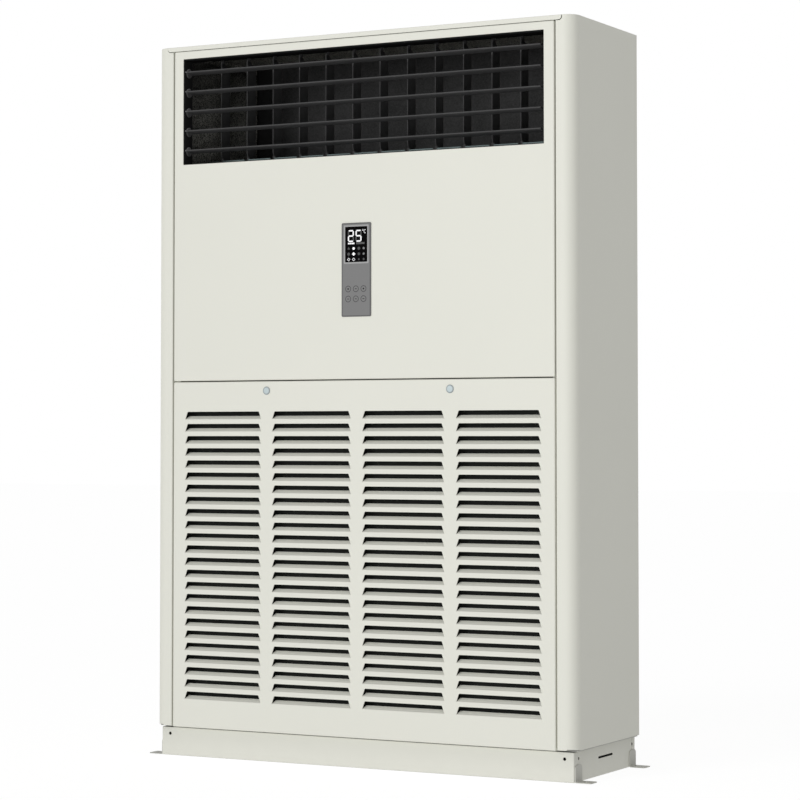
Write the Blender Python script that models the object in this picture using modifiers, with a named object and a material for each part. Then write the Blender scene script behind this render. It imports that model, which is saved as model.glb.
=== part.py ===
"""Floor standing air conditioner: a sheet steel cabinet with a louvred intake and a vaned outlet.

Metres, +Z up, the cabinet faces -Y. The origin is on the floor at the middle of the plan.
"""
import math

import bmesh
import bpy
from mathutils import Vector

# Cabinet
WIDTH = 1.200
DEPTH = 0.386
HEIGHT = 1.845
SHEET = 0.002
INNER_BEND = 0.001
CORNER_RADIUS = 0.0303
SIDE_RETURN = 0.0508
LEDGE_WIDTH = 0.015
REAR_RETURN = 0.015
PANEL_FLANGE = 0.015
BACK_FLANGE = 0.012
SIDE_SEAM = 0.0035
PANEL_SEAM = 0.0035
SPLIT_HEIGHT = 0.970
TOUCH = 0.0003

# Top cover
LIP_HEIGHT = 0.0117
LIP_SHEET = 0.0012
LIP_CORNER = 0.008
LIP_INSET = 0.039
LIP_GAP = 0.003

# Base and feet
BASE_HEIGHT = 0.075
BASE_INSET_FRONT = 0.0145
BASE_INSET_SIDE = 0.0125
BASE_FLANGE = 0.020
BASE_HOLE_RADIUS = 0.004
BASE_HOLE_FROM_END = 0.0245
BASE_HOLE_HEIGHT = 0.056
SIDE_HOLE_FROM_FRONT = 0.043
SIDE_HOLE_FROM_BACK = 0.018
SLOT_LENGTH = 0.085
SLOT_HEIGHT = 0.0055
SLOT_FROM_FRONT = 0.206
SLOT_LEVEL = 0.045
FOOT_PLATE = 0.002
FOOT_REACH = 0.0422
FOOT_LENGTH = 0.039
FOOT_RISE = 0.042
FOOT_CORNER = 0.010
FOOT_HOLE_RADIUS = 0.005
FRONT_FOOT_FROM_FRONT = 0.037
REAR_FOOT_FROM_BACK = 0.0195

# Intake louvres
LOUVRE_COLUMNS = 4
LOUVRE_ROWS = 24
LOUVRE_WIDTH = 0.229
LOUVRE_TAPER = 0.007
LOUVRE_HEIGHT = 0.0185
COLUMN_PITCH = 0.263
LOUVRES_BELOW_SPLIT = 0.080
LOUVRES_ABOVE_BASE = 0.07545
FLAP_LENGTH = 0.0168
FLAP_SLOPE = math.radians(60.0)
FLAP_SHEET = 0.0016
FLAP_ROOT = 0.0004

# Screw caps
CAP_RADIUS = 0.0105
CAP_RISE = 0.0015
CAP_SHANK_RADIUS = 0.004
CAP_SHANK_LENGTH = 0.010
CAP_X = 0.263
CAP_BELOW_SPLIT = 0.026
HOLE_CLEARANCE = 0.0004

# Control plate and display
PLATE_WIDTH = 0.084
PLATE_HEIGHT = 0.236
PLATE_PROUD = 0.002
PLATE_CORNER = 0.003
PLATE_LEVEL = 1.2455
DISPLAY_WIDTH = 0.063
DISPLAY_HEIGHT = 0.089
DISPLAY_BELOW_TOP = 0.0098
DISPLAY_SET_BACK = 0.0002

# Outlet
OUTLET_WIDTH = 1.0368
OUTLET_HEIGHT = 0.274
OUTLET_BELOW_TOP = 0.0337
FRAME_WALL = 0.006
FRAME_DEPTH = 0.042
FRAME_DROP = 0.003

# Horizontal vanes
BLADE_COUNT = 5
BLADE_CHORD = 0.036
BLADE_THICKNESS = 0.005
BLADE_TILT = math.radians(-7.0)
BLADE_AXIS_DEPTH = 0.024
BLADE_MARGIN = 0.0342
BLADE_SHORT = 0.0115
DISC_RADIUS = 0.012
DISC_THICKNESS = 0.003
DISC_RIM = 0.0025
DISC_DISH = 0.0012
END_CLEARANCE = 0.001
PIN_RADIUS = 0.0025
PIN_CLEARANCE = 0.0005

# Upright vanes and their link bar
VANE_COUNT = 13
VANE_DEPTH = 0.044
VANE_THICKNESS = 0.003
VANE_AXIS_DEPTH = 0.131
VANE_NOSE = 0.009
VANE_ABOVE_SILL = 0.0192
VANE_HEAD_ROOM = 0.005
VANE_NECK = 0.0045
VANE_SHOULDER_DROP = 0.024
VANE_SHOULDER_RISE = 0.022
VANE_TOE_CUT = 0.0055
VANE_TOE_RISE = 0.016
UPPER_RAIL_DROP = 0.0085
COLLAR_RADIUS = 0.005
LINK_FROM_AXIS = 0.030
LINK_WIDTH = 0.009
LINK_THICKNESS = 0.003
LINK_PEG_RADIUS = 0.002
LINK_HEAD_RADIUS = 0.0032
LINK_HEAD_HEIGHT = 0.0015

# Rails that carry the upright vanes
RAIL_SHEET = 0.002
RAIL_FRONT = 0.012
RAIL_BACK = 0.013
RAIL_WEB_ABOVE_SILL = 0.0057
RAIL_LIP_ABOVE_SILL = 0.0177
RAIL_NOTCH_WIDTH = 0.012

# Plenum behind the vanes
LINING = 0.010
SILL_TO_FLOOR = 0.0043
PLENUM_FROM_BACK = 0.017
REAR_WALL_SETBACK = 0.0574
TRAY_SETBACK = 0.0005

# Filter behind the louvres
FILTER_BORDER = 0.014
FILTER_DEPTH = 0.012
FILTER_DIVIDER = 0.016
FILTER_DIVIDER_DEPTH = 0.006
FILTER_BELOW_SPLIT = 0.012
FILTER_SIDE = 0.004
MESH_SHEET = 0.001

# Facets
ARC_STEPS = 8
ROUND_SIDES = 16
PIN_SIDES = 8
EDGE_SEGMENTS = 2

# Places worked out from the sizes
FRONT = -(DEPTH - PLATE_PROUD) / 2
BACK = FRONT + DEPTH
HALF_WIDTH = WIDTH / 2
RETURN_X = HALF_WIDTH - SIDE_RETURN
PANEL_HALF = RETURN_X - SIDE_SEAM
EDGE_ROUND = SHEET + INNER_BEND
UNDER_COVER = HEIGHT - SHEET - TOUCH
LIP_HALF = HALF_WIDTH - LIP_INSET
BASE_HALF = HALF_WIDTH - BASE_INSET_SIDE
BASE_FRONT = FRONT + BASE_INSET_FRONT
TRAY_TOP = BASE_HEIGHT + TOUCH + SHEET
TRAY_FRONT = FRONT + PANEL_FLANGE + 2 * TOUCH
SHELL_BOTTOM = TRAY_TOP + TOUCH
GRILLE_BOTTOM = BASE_HEIGHT + 2 * TOUCH
GRILLE_TOP = SPLIT_HEIGHT - PANEL_SEAM / 2
UPPER_BOTTOM = SPLIT_HEIGHT + PANEL_SEAM / 2
LOUVRE_TOP_ROW = SPLIT_HEIGHT - LOUVRES_BELOW_SPLIT - LOUVRE_HEIGHT
LOUVRE_PITCH = (LOUVRE_TOP_ROW - BASE_HEIGHT - LOUVRES_ABOVE_BASE) / (LOUVRE_ROWS - 1)
OUTLET_HALF = OUTLET_WIDTH / 2
OUTLET_TOP = HEIGHT - OUTLET_BELOW_TOP
SILL = OUTLET_TOP - OUTLET_HEIGHT
FRAME_FRONT = FRONT + SHEET + TOUCH
FRAME_BACK = FRAME_FRONT + FRAME_DEPTH
FLOOR_TOP = SILL - SILL_TO_FLOOR
LINING_UNDERSIDE = UNDER_COVER - LINING
PLENUM_FRONT = FRAME_BACK + TOUCH
PLENUM_BACK = BACK - PLENUM_FROM_BACK
BLADE_Y = FRONT + BLADE_AXIS_DEPTH
BLADE_PITCH = (OUTLET_HEIGHT - 2 * BLADE_MARGIN) / (BLADE_COUNT - 1)
VANE_Y = FRONT + VANE_AXIS_DEPTH
VANE_PITCH = OUTLET_WIDTH / VANE_COUNT
VANE_BOTTOM = SILL + VANE_ABOVE_SILL
UPPER_WEB = LINING_UNDERSIDE - UPPER_RAIL_DROP
VANE_TOP = UPPER_WEB - VANE_HEAD_ROOM
LINK_Y = VANE_Y + LINK_FROM_AXIS
RAIL_WEB_TOP = SILL + RAIL_WEB_ABOVE_SILL
LEDGE_FRONT = FRONT + PANEL_FLANGE + TOUCH
FILTER_FRONT = LEDGE_FRONT + SHEET + TOUCH
FILTER_HALF = RETURN_X - FILTER_SIDE
FILTER_TOP = SPLIT_HEIGHT - FILTER_BELOW_SPLIT


# Scene and materials

def clear_scene():
    for thing in list(bpy.data.objects):
        bpy.data.objects.remove(thing, do_unlink=True)


def collection(name):
    found = bpy.data.collections.new(name)
    bpy.context.scene.collection.children.link(found)
    return found


def material(name, colour, roughness, metallic=0.0):
    made = bpy.data.materials.new(name)
    made.use_nodes = True
    shader = made.node_tree.nodes["Principled BSDF"]
    shader.inputs["Base Color"].default_value = (*colour, 1.0)
    shader.inputs["Roughness"].default_value = roughness
    shader.inputs["Metallic"].default_value = metallic
    made.diffuse_color = (*colour, 1.0)
    return made


clear_scene()
PARTS = collection("floor_standing_air_conditioner")
CUTTERS = collection("cutters")

CREAM_PAINT = material("cream_paint", (0.76, 0.76, 0.70), 0.45)
GREY_PLATE = material("grey_plate", (0.24, 0.24, 0.24), 0.40)
BLACK_GLASS = material("black_glass", (0.01, 0.01, 0.01), 0.12)
BLACK_PLASTIC = material("black_plastic", (0.03, 0.03, 0.03), 0.50)
GALVANISED = material("galvanised", (0.30, 0.34, 0.34), 0.40, 0.8)
FOAM = material("foam", (0.012, 0.012, 0.010), 0.95)
CAP_PLASTIC = material("cap_plastic", (0.48, 0.55, 0.58), 0.45)
FILTER_MESH = material("filter_mesh", (0.02, 0.02, 0.02), 0.80)


# Making and joining solids

def place(name, data, paint, at=(0, 0, 0), turn=(0, 0, 0)):
    thing = bpy.data.objects.new(name, data)
    PARTS.objects.link(thing)
    thing.location = at
    thing.rotation_euler = turn
    if paint is not None:
        data.materials.clear()
        data.materials.append(paint)
    return thing


def as_cutter(thing):
    for group in list(thing.users_collection):
        group.objects.unlink(thing)
    CUTTERS.objects.link(thing)
    thing.hide_render = True
    thing.display_type = "WIRE"
    return thing


def boolean(target, tool, operation):
    as_cutter(tool)
    step = target.modifiers.new(operation.lower(), "BOOLEAN")
    step.operation = operation
    step.solver = "EXACT"
    step.object = tool
    return target


def cut(target, *tools):
    for tool in tools:
        boolean(target, tool, "DIFFERENCE")
    return target


def fuse(target, *tools):
    for tool in tools:
        boolean(target, tool, "UNION")
    return target


def evaluated_mesh(thing, name):
    """The mesh that the modifiers or the curve give, with its loose caps welded."""
    bpy.context.view_layer.update()
    graph = bpy.context.evaluated_depsgraph_get()
    mesh = bpy.data.meshes.new_from_object(thing.evaluated_get(graph))
    mesh.name = name
    form = bmesh.new()
    form.from_mesh(mesh)
    bmesh.ops.remove_doubles(form, verts=form.verts, dist=1e-6)
    form.to_mesh(mesh)
    form.free()
    return mesh


def mesh_from(form, name):
    mesh = bpy.data.meshes.new(name)
    form.to_mesh(mesh)
    form.free()
    return mesh


def smooth(thing, angle=35.0):
    thing.data.shade_smooth()
    thing.data.set_sharp_from_angle(angle=math.radians(angle))
    return thing


def box(name, low, high, paint=None):
    low, high = Vector(low), Vector(high)
    form = bmesh.new()
    bmesh.ops.create_cube(form, size=1.0)
    bmesh.ops.scale(form, vec=high - low, verts=form.verts)
    return place(name, mesh_from(form, name), paint, at=(low + high) / 2)


def rod(name, radius, start, end, paint=None, sides=ROUND_SIDES):
    """A cylinder from start to end."""
    start, end = Vector(start), Vector(end)
    form = bmesh.new()
    bmesh.ops.create_cone(
        form, cap_ends=True, segments=sides, radius1=radius, radius2=radius, depth=(end - start).length
    )
    turn = (end - start).to_track_quat("Z", "Y").to_euler()
    return place(name, mesh_from(form, name), paint, at=(start + end) / 2, turn=turn)


def pan(name, low, high, open_side, paint, round_edges=True):
    """A folded tray of sheet: a box with one side open, its bends rounded, thickened inwards."""
    low, high = Vector(low), Vector(high)
    form = bmesh.new()
    bmesh.ops.create_cube(form, size=1.0)
    bmesh.ops.scale(form, vec=high - low, verts=form.verts)
    away = Vector(open_side)
    opening = [face for face in form.faces if face.normal.dot(away) > 0.5]
    bmesh.ops.delete(form, geom=opening, context="FACES_ONLY")
    if round_edges:
        bends = [edge for edge in form.edges if len(edge.link_faces) == 2]
        bmesh.ops.bevel(
            form, geom=bends, offset=EDGE_ROUND, segments=EDGE_SEGMENTS, profile=0.5, affect="EDGES"
        )
    thing = place(name, mesh_from(form, name), paint, at=(low + high) / 2)
    walls = thing.modifiers.new("sheet", "SOLIDIFY")
    walls.thickness = SHEET
    walls.offset = -1.0
    walls.use_even_offset = True
    return thing


PLANES = {
    "XY": (0, 0, 0),
    "XZ": (math.pi / 2, 0, 0),
    "YZ": (math.pi / 2, 0, math.pi / 2),
}


def flat_solid(name, outline, thickness, plane, at, paint=None):
    """A closed outline in one plane, thickened equally to both sides of it."""
    curve = bpy.data.curves.new(name, "CURVE")
    curve.dimensions = "2D"
    curve.fill_mode = "BOTH"
    curve.extrude = thickness / 2
    spline = curve.splines.new("POLY")
    spline.points.add(len(outline) - 1)
    for point, (x, y) in zip(spline.points, outline):
        point.co = (x, y, 0, 1)
    spline.use_cyclic_u = True
    flat = bpy.data.objects.new(name + "_outline", curve)
    bpy.context.scene.collection.objects.link(flat)
    mesh = evaluated_mesh(flat, name)
    bpy.data.objects.remove(flat)
    bpy.data.curves.remove(curve)
    return place(name, mesh, paint, at=at, turn=PLANES[plane])


def folded_sheet(name, path, length, plane, at, paint, thickness=SHEET):
    """An open path carried along its normal: its right-hand side is the outside, thickened inwards."""
    form = bmesh.new()
    corners = [form.verts.new((x, y, 0)) for x, y in path]
    edges = [form.edges.new(pair) for pair in zip(corners, corners[1:])]
    risen = bmesh.ops.extrude_edge_only(form, edges=edges)["geom"]
    moved = [part for part in risen if isinstance(part, bmesh.types.BMVert)]
    bmesh.ops.translate(form, verts=moved, vec=(0, 0, length))
    bmesh.ops.recalc_face_normals(form, faces=form.faces)
    first = edges[0].link_faces[0]
    outside = (corners[1].co - corners[0].co).cross(Vector((0, 0, 1)))
    if first.normal.dot(outside) < 0:
        bmesh.ops.reverse_faces(form, faces=form.faces)
    thing = place(name, mesh_from(form, name), paint, at=at, turn=PLANES[plane])
    walls = thing.modifiers.new("sheet", "SOLIDIFY")
    walls.thickness = thickness
    walls.offset = -1.0
    walls.use_even_offset = True
    return thing


def turned(name, profile, paint=None, at=(0, 0, 0), turn=(0, 0, 0), sides=ROUND_SIDES):
    """A profile of radius and height, turned once round Z."""
    form = bmesh.new()
    points = [form.verts.new((radius, 0, height)) for radius, height in profile]
    for pair in zip(points, points[1:]):
        form.edges.new(pair)
    thing = place(name, mesh_from(form, name), paint, at=at, turn=turn)
    spin = thing.modifiers.new("turn", "SCREW")
    spin.steps = sides
    spin.render_steps = sides
    spin.use_merge_vertices = True
    spin.merge_threshold = 0.00001
    return thing


def arc(centre, radius, start, end, steps=ARC_STEPS):
    """Points on an arc, from one angle in degrees to another."""
    turns = [math.radians(start + (end - start) * i / steps) for i in range(steps + 1)]
    return [(centre[0] + radius * math.cos(a), centre[1] + radius * math.sin(a)) for a in turns]


def rounded(width, height, radius, steps=4):
    """A rectangle round the origin with four equal round corners."""
    x, y = width / 2 - radius, height / 2 - radius
    corners = ((x, y, 0), (-x, y, 90), (-x, -y, 180), (x, -y, 270))
    return [p for cx, cy, a in corners for p in arc((cx, cy), radius, a, a + 90, steps)]


def mirrored(path):
    return [(-x, y) for x, y in reversed(path)]


# Base

def build_base():
    front = pan(
        "base_front_skirt",
        (-BASE_HALF, BASE_FRONT, 0),
        (BASE_HALF, BASE_FRONT + BASE_FLANGE, BASE_HEIGHT),
        (0, 1, 0),
        CREAM_PAINT,
    )
    for side in (-1, 1):
        x = side * (BASE_HALF - BASE_HOLE_FROM_END)
        start = (x, BASE_FRONT - SHEET, BASE_HOLE_HEIGHT)
        end = (x, BASE_FRONT + 2 * SHEET, BASE_HOLE_HEIGHT)
        cut(front, rod("skirt_hole", BASE_HOLE_RADIUS, start, end))
    rear = pan(
        "base_rear_skirt",
        (-BASE_HALF, BACK - BASE_FLANGE, 0),
        (BASE_HALF, BACK, BASE_HEIGHT),
        (0, -1, 0),
        CREAM_PAINT,
    )
    for side, name in ((-1, "base_left_side"), (1, "base_right_side")):
        cut(rear, side_hole(side, BACK - SIDE_HOLE_FROM_BACK))
        build_base_side(side, name)
    tray_depth = BACK - TRAY_SETBACK - TRAY_FRONT
    flat_solid(
        "base_tray",
        rounded(WIDTH - 2 * TRAY_SETBACK, tray_depth, PANEL_FLANGE),
        SHEET,
        "XY",
        (0, TRAY_FRONT + tray_depth / 2, TRAY_TOP - SHEET / 2),
        GALVANISED,
    )


def side_hole(side, y):
    """A cutter through the outer wall of one side of the base."""
    near, far = side * (BASE_HALF - 2 * SHEET), side * (BASE_HALF + SHEET)
    return rod("side_hole", BASE_HOLE_RADIUS, (near, y, BASE_HOLE_HEIGHT), (far, y, BASE_HOLE_HEIGHT))


def build_base_side(side, name):
    """One channel between the two skirts, with its lifting slot and its front hole."""
    near, far = side * (BASE_HALF - BASE_FLANGE), side * BASE_HALF
    start = BASE_FRONT + BASE_FLANGE + TOUCH
    end = BACK - BASE_FLANGE - TOUCH
    channel = pan(
        name, (min(near, far), start, 0), (max(near, far), end, BASE_HEIGHT), (-side, 0, 0), CREAM_PAINT
    )
    slot_centre = (far, FRONT + SLOT_FROM_FRONT, SLOT_LEVEL)
    slot = flat_solid(
        "side_slot", rounded(SLOT_LENGTH, SLOT_HEIGHT, SLOT_HEIGHT / 2.01), 4 * SHEET, "YZ", slot_centre
    )
    cut(channel, slot, side_hole(side, FRONT + SIDE_HOLE_FROM_FRONT))


def build_feet():
    """Four angle brackets: a leg against the base side and a drilled tab on the floor."""
    places = {
        "front": FRONT + FRONT_FOOT_FROM_FRONT,
        "rear": BACK - REAR_FOOT_FROM_BACK,
    }
    for side, side_name in ((-1, "left"), (1, "right")):
        for end_name, y in places.items():
            inner = side * (BASE_HALF + TOUCH)
            shoulder, rise = FOOT_LENGTH / 2 - FOOT_CORNER, FOOT_RISE - FOOT_CORNER
            leg_outline = [(-FOOT_LENGTH / 2, 0), (FOOT_LENGTH / 2, 0)]
            leg_outline += arc((shoulder, rise), FOOT_CORNER, 0, 90, 4)
            leg_outline += arc((-shoulder, rise), FOOT_CORNER, 90, 180, 4)
            leg_place = (inner + side * FOOT_PLATE / 2, y, 0)
            foot = f"foot_{end_name}_{side_name}"
            leg = flat_solid(foot, leg_outline, FOOT_PLATE, "YZ", leg_place, CREAM_PAINT)
            tab_outline = rounded(FOOT_REACH * 2, FOOT_LENGTH, FOOT_CORNER / 2)
            tab = flat_solid("foot_tab", tab_outline, FOOT_PLATE, "XY", (inner, y, FOOT_PLATE / 2))
            beyond = inner - side * 2 * FOOT_REACH
            trim = box(
                "foot_trim",
                (min(inner, beyond), y - FOOT_LENGTH, -FOOT_RISE),
                (max(inner, beyond), y + FOOT_LENGTH, FOOT_RISE),
            )
            cut(tab, trim)
            fuse(leg, tab)
            hole_x = inner + side * (FOOT_REACH + FOOT_PLATE) / 2
            below, above = (hole_x, y, -FOOT_PLATE), (hole_x, y, 2 * FOOT_PLATE)
            cut(leg, rod("foot_hole", FOOT_HOLE_RADIUS, below, above))


# Cabinet shell

def side_path():
    """The right side panel in plan: ledge, seam face, front return, round corner, side, rear return."""
    corner = (HALF_WIDTH - CORNER_RADIUS, FRONT + CORNER_RADIUS)
    path = [(RETURN_X - LEDGE_WIDTH, LEDGE_FRONT), (RETURN_X, LEDGE_FRONT), (RETURN_X, FRONT)]
    path += arc(corner, CORNER_RADIUS, -90, 0)
    path += [(HALF_WIDTH, BACK), (HALF_WIDTH - REAR_RETURN, BACK)]
    return path


def build_side_panels():
    """Each panel's top is cut down under the top cover, and cut out round the end of its lip."""
    length = HEIGHT - SHELL_BOTTOM
    radius = LIP_CORNER + LIP_GAP
    opening = arc((LIP_HALF + LIP_GAP - radius, radius), radius, -90, 0, 4)
    opening += [(LIP_HALF + LIP_GAP, LIP_HEIGHT + LIP_GAP + SHEET)]
    through = 2 * (SHEET + TOUCH)
    cut_out = flat_solid(
        "lip_cut_out", opening + mirrored(opening), through, "XZ", (0, FRONT, HEIGHT - LIP_HEIGHT - LIP_GAP)
    )
    for side, name in ((-1, "left_side_panel"), (1, "right_side_panel")):
        path = side_path() if side > 0 else mirrored(side_path())
        panel = folded_sheet(name, path, length, "XY", (0, 0, SHELL_BOTTOM), CREAM_PAINT)
        inner, outer = 0.0, side * (RETURN_X + SHEET + TOUCH)
        over_seam = box(
            "cover_notch",
            (min(inner, outer), FRONT - SHEET, UNDER_COVER),
            (max(inner, outer), FRONT + PANEL_FLANGE + 4 * SHEET, HEIGHT + SHEET),
        )
        cut(panel, cut_out, over_seam)
        smooth(panel)


def build_back_panel():
    half = HALF_WIDTH - REAR_RETURN - TOUCH
    pan(
        "back_panel",
        (-half, BACK - BACK_FLANGE, SHELL_BOTTOM),
        (half, BACK, UNDER_COVER),
        (0, -1, 0),
        CREAM_PAINT,
    )


def build_top_cover():
    """A plate that fits inside the side panels, with a thin lip folded down over the front."""
    inside = HALF_WIDTH - SHEET - TOUCH
    radius = CORNER_RADIUS - SHEET - TOUCH
    lip_front = FRONT - TOUCH - LIP_SHEET
    back = BACK - SHEET - TOUCH
    right = [(LIP_HALF, lip_front), (LIP_HALF, FRONT + SHEET + 2 * TOUCH)]
    right += arc((HALF_WIDTH - CORNER_RADIUS, FRONT + CORNER_RADIUS), radius, -90, 0)
    right += [(inside, back)]
    cover = flat_solid(
        "top_cover", right + mirrored(right), SHEET, "XY", (0, 0, HEIGHT - SHEET / 2), CREAM_PAINT
    )
    drop = LIP_HEIGHT - SHEET / 2
    lip = arc((LIP_HALF - LIP_CORNER, LIP_CORNER), LIP_CORNER, -90, 0, 4)
    lip += [(LIP_HALF, drop)]
    lip_place = (0, lip_front + LIP_SHEET / 2, HEIGHT - LIP_HEIGHT)
    fuse(cover, flat_solid("cover_lip", lip + mirrored(lip), LIP_SHEET, "XZ", lip_place))


# Front panels

def build_upper_panel():
    panel = pan(
        "upper_front_panel",
        (-PANEL_HALF, FRONT, UPPER_BOTTOM),
        (PANEL_HALF, FRONT + PANEL_FLANGE, UNDER_COVER),
        (0, 1, 0),
        CREAM_PAINT,
    )
    mouth = box(
        "outlet_mouth",
        (-OUTLET_HALF, FRONT - SHEET, SILL),
        (OUTLET_HALF, FRONT + 2 * SHEET, OUTLET_TOP),
    )
    cut(panel, mouth)


def trapezium(bottom, top, height):
    """An upright outline on its bottom edge, narrower at the top."""
    return [(-bottom / 2, 0), (bottom / 2, 0), (top / 2, height), (-top / 2, height)]


def louvre_grid(thing):
    """Repeats one louvre over all columns and rows."""
    across = thing.modifiers.new("columns", "ARRAY")
    across.count = LOUVRE_COLUMNS
    across.use_relative_offset = False
    across.use_constant_offset = True
    across.constant_offset_displace = (COLUMN_PITCH, 0, 0)
    down = thing.modifiers.new("rows", "ARRAY")
    down.count = LOUVRE_ROWS
    down.use_relative_offset = False
    down.use_constant_offset = True
    down.constant_offset_displace = thing.matrix_basis.to_3x3().transposed() @ Vector((0, 0, -LOUVRE_PITCH))
    return thing


def build_grille_panel():
    """The intake panel: slots with slanted ends, each with a flap bent inwards from its lower edge."""
    panel = pan(
        "intake_grille_panel",
        (-PANEL_HALF, FRONT, GRILLE_BOTTOM),
        (PANEL_HALF, FRONT + PANEL_FLANGE, GRILLE_TOP),
        (0, 1, 0),
        CREAM_PAINT,
    )
    first_x = -COLUMN_PITCH * (LOUVRE_COLUMNS - 1) / 2
    first_z = LOUVRE_TOP_ROW
    slot_outline = trapezium(LOUVRE_WIDTH, LOUVRE_WIDTH - 2 * LOUVRE_TAPER, LOUVRE_HEIGHT)
    slot = flat_solid(
        "louvre_slot", slot_outline, 3 * SHEET, "XZ", (first_x, FRONT + SHEET / 2, first_z)
    )
    cut(panel, louvre_grid(slot))
    rise = FLAP_LENGTH * math.cos(FLAP_SLOPE)
    flap_top = LOUVRE_WIDTH - 2 * LOUVRE_TAPER * rise / LOUVRE_HEIGHT - 4 * TOUCH
    flap_outline = trapezium(LOUVRE_WIDTH - 2 * TOUCH, flap_top, FLAP_LENGTH)
    below = Vector((0, math.cos(FLAP_SLOPE), -math.sin(FLAP_SLOPE))) * FLAP_SHEET / 2
    root = Vector((first_x, FRONT + FLAP_ROOT, first_z - FLAP_ROOT)) + below
    flap = flat_solid("louvre_flap", flap_outline, FLAP_SHEET, "XZ", root)
    flap.rotation_euler = (math.pi / 2 - FLAP_SLOPE, 0, 0)
    bpy.context.view_layer.update()
    fuse(panel, louvre_grid(flap))
    level = SPLIT_HEIGHT - CAP_BELOW_SPLIT
    for side, name in ((-1, "left_screw_cap"), (1, "right_screw_cap")):
        x = side * CAP_X
        hole = CAP_SHANK_RADIUS + HOLE_CLEARANCE
        cut(panel, rod("cap_hole", hole, (x, FRONT - SHEET, level), (x, FRONT + 2 * SHEET, level)))
        build_screw_cap(name, x, level)


def build_screw_cap(name, x, level):
    """A low domed button whose shank presses into a hole of the panel."""
    edge = CAP_RISE / 2
    profile = [
        (0, TOUCH + CAP_RISE),
        (CAP_RADIUS - edge, TOUCH + CAP_RISE),
        (CAP_RADIUS, TOUCH + edge),
        (CAP_RADIUS, TOUCH),
        (CAP_SHANK_RADIUS, TOUCH),
        (CAP_SHANK_RADIUS, -CAP_SHANK_LENGTH),
        (0, -CAP_SHANK_LENGTH),
    ]
    smooth(turned(name, profile, CAP_PLASTIC, (x, FRONT, level), (math.pi / 2, 0, 0)))


def build_controls():
    """The control plate stands on the upper panel, with the display window let into it."""
    thickness = PLATE_PROUD - TOUCH
    middle = FRONT - TOUCH - thickness / 2
    plate = flat_solid(
        "control_plate",
        rounded(PLATE_WIDTH, PLATE_HEIGHT, PLATE_CORNER, 3),
        thickness,
        "XZ",
        (0, middle, PLATE_LEVEL),
        GREY_PLATE,
    )
    level = PLATE_LEVEL + PLATE_HEIGHT / 2 - DISPLAY_BELOW_TOP - DISPLAY_HEIGHT / 2
    low = (-DISPLAY_WIDTH / 2, FRONT - PLATE_PROUD, level - DISPLAY_HEIGHT / 2)
    high = (DISPLAY_WIDTH / 2, FRONT - TOUCH, level + DISPLAY_HEIGHT / 2)
    room = box(
        "display_room",
        (low[0] - TOUCH, low[1] - SHEET, low[2] - TOUCH),
        (high[0] + TOUCH, high[1] + SHEET, high[2] + TOUCH),
    )
    cut(plate, room)
    box("display_window", (low[0], low[1] + DISPLAY_SET_BACK, low[2]), high, BLACK_GLASS)


# Outlet frame and horizontal vanes

def blade_levels():
    return [OUTLET_TOP - BLADE_MARGIN - i * BLADE_PITCH for i in range(BLADE_COUNT)]


def build_outlet_frame():
    outer = OUTLET_HALF + FRAME_WALL
    frame = box(
        "outlet_frame",
        (-outer, FRAME_FRONT, SILL - FRAME_WALL),
        (outer, FRAME_BACK, OUTLET_TOP + FRAME_WALL),
        BLACK_PLASTIC,
    )
    throat = box(
        "frame_throat",
        (-OUTLET_HALF, FRAME_FRONT - SHEET, SILL),
        (OUTLET_HALF, FRAME_BACK + SHEET, OUTLET_TOP - FRAME_DROP),
    )
    cut(frame, throat)
    radius = PIN_RADIUS + PIN_CLEARANCE
    for level in blade_levels():
        start = (-outer - FRAME_WALL, BLADE_Y, level)
        end = (outer + FRAME_WALL, BLADE_Y, level)
        cut(frame, rod("bearing_hole", radius, start, end, sides=PIN_SIDES))


def blade_outline():
    """A slim leaf at its resting tilt: a round nose at the front and a finer round tail."""
    half = BLADE_CHORD / 2
    nose, tail = BLADE_THICKNESS * 0.36, BLADE_THICKNESS * 0.2
    points = arc((-half + nose, 0), nose, 120, 240, 4)
    points += [(0, -BLADE_THICKNESS / 2)]
    points += arc((half - tail, 0), tail, -60, 60, 3)
    points += [(0, BLADE_THICKNESS / 2)]
    cosine, sine = math.cos(BLADE_TILT), math.sin(BLADE_TILT)
    return [(x * cosine - y * sine, x * sine + y * cosine) for x, y in points]


def build_blades():
    """Five like vanes, each turned on its own axis, which is its object's origin."""
    left = -OUTLET_HALF + END_CLEARANCE
    right = OUTLET_HALF - BLADE_SHORT
    start = left + DISC_THICKNESS / 2
    blade = flat_solid(
        "blade_form", blade_outline(), right - start, "YZ", ((start + right) / 2, 0, 0), BLACK_PLASTIC
    )
    dish = DISC_RADIUS - DISC_RIM
    profile = [
        (0, DISC_THICKNESS - DISC_DISH),
        (dish, DISC_THICKNESS - DISC_DISH),
        (dish, DISC_THICKNESS),
        (DISC_RADIUS, DISC_THICKNESS),
        (DISC_RADIUS, 0),
        (0, 0),
    ]
    disc = turned("blade_disc", profile, None, (left, 0, 0), (0, math.pi / 2, 0))
    reach = OUTLET_HALF + FRAME_WALL - TOUCH
    left_pin = rod("left_pin", PIN_RADIUS, (-reach, 0, 0), (start, 0, 0), sides=PIN_SIDES)
    right_pin = rod("right_pin", PIN_RADIUS, (right - BLADE_SHORT, 0, 0), (reach, 0, 0), sides=PIN_SIDES)
    fuse(blade, disc, left_pin, right_pin)
    form = evaluated_mesh(blade, "horizontal_vane")
    form.transform(blade.matrix_world)
    bpy.data.objects.remove(blade)
    for number, level in enumerate(blade_levels(), 1):
        smooth(place(f"horizontal_vane_{number}", form, BLACK_PLASTIC, (0, BLADE_Y, level)))


# Upright vanes, rails and link bar

def vane_places():
    return [(i - (VANE_COUNT - 1) / 2) * VANE_PITCH for i in range(VANE_COUNT)]


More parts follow.
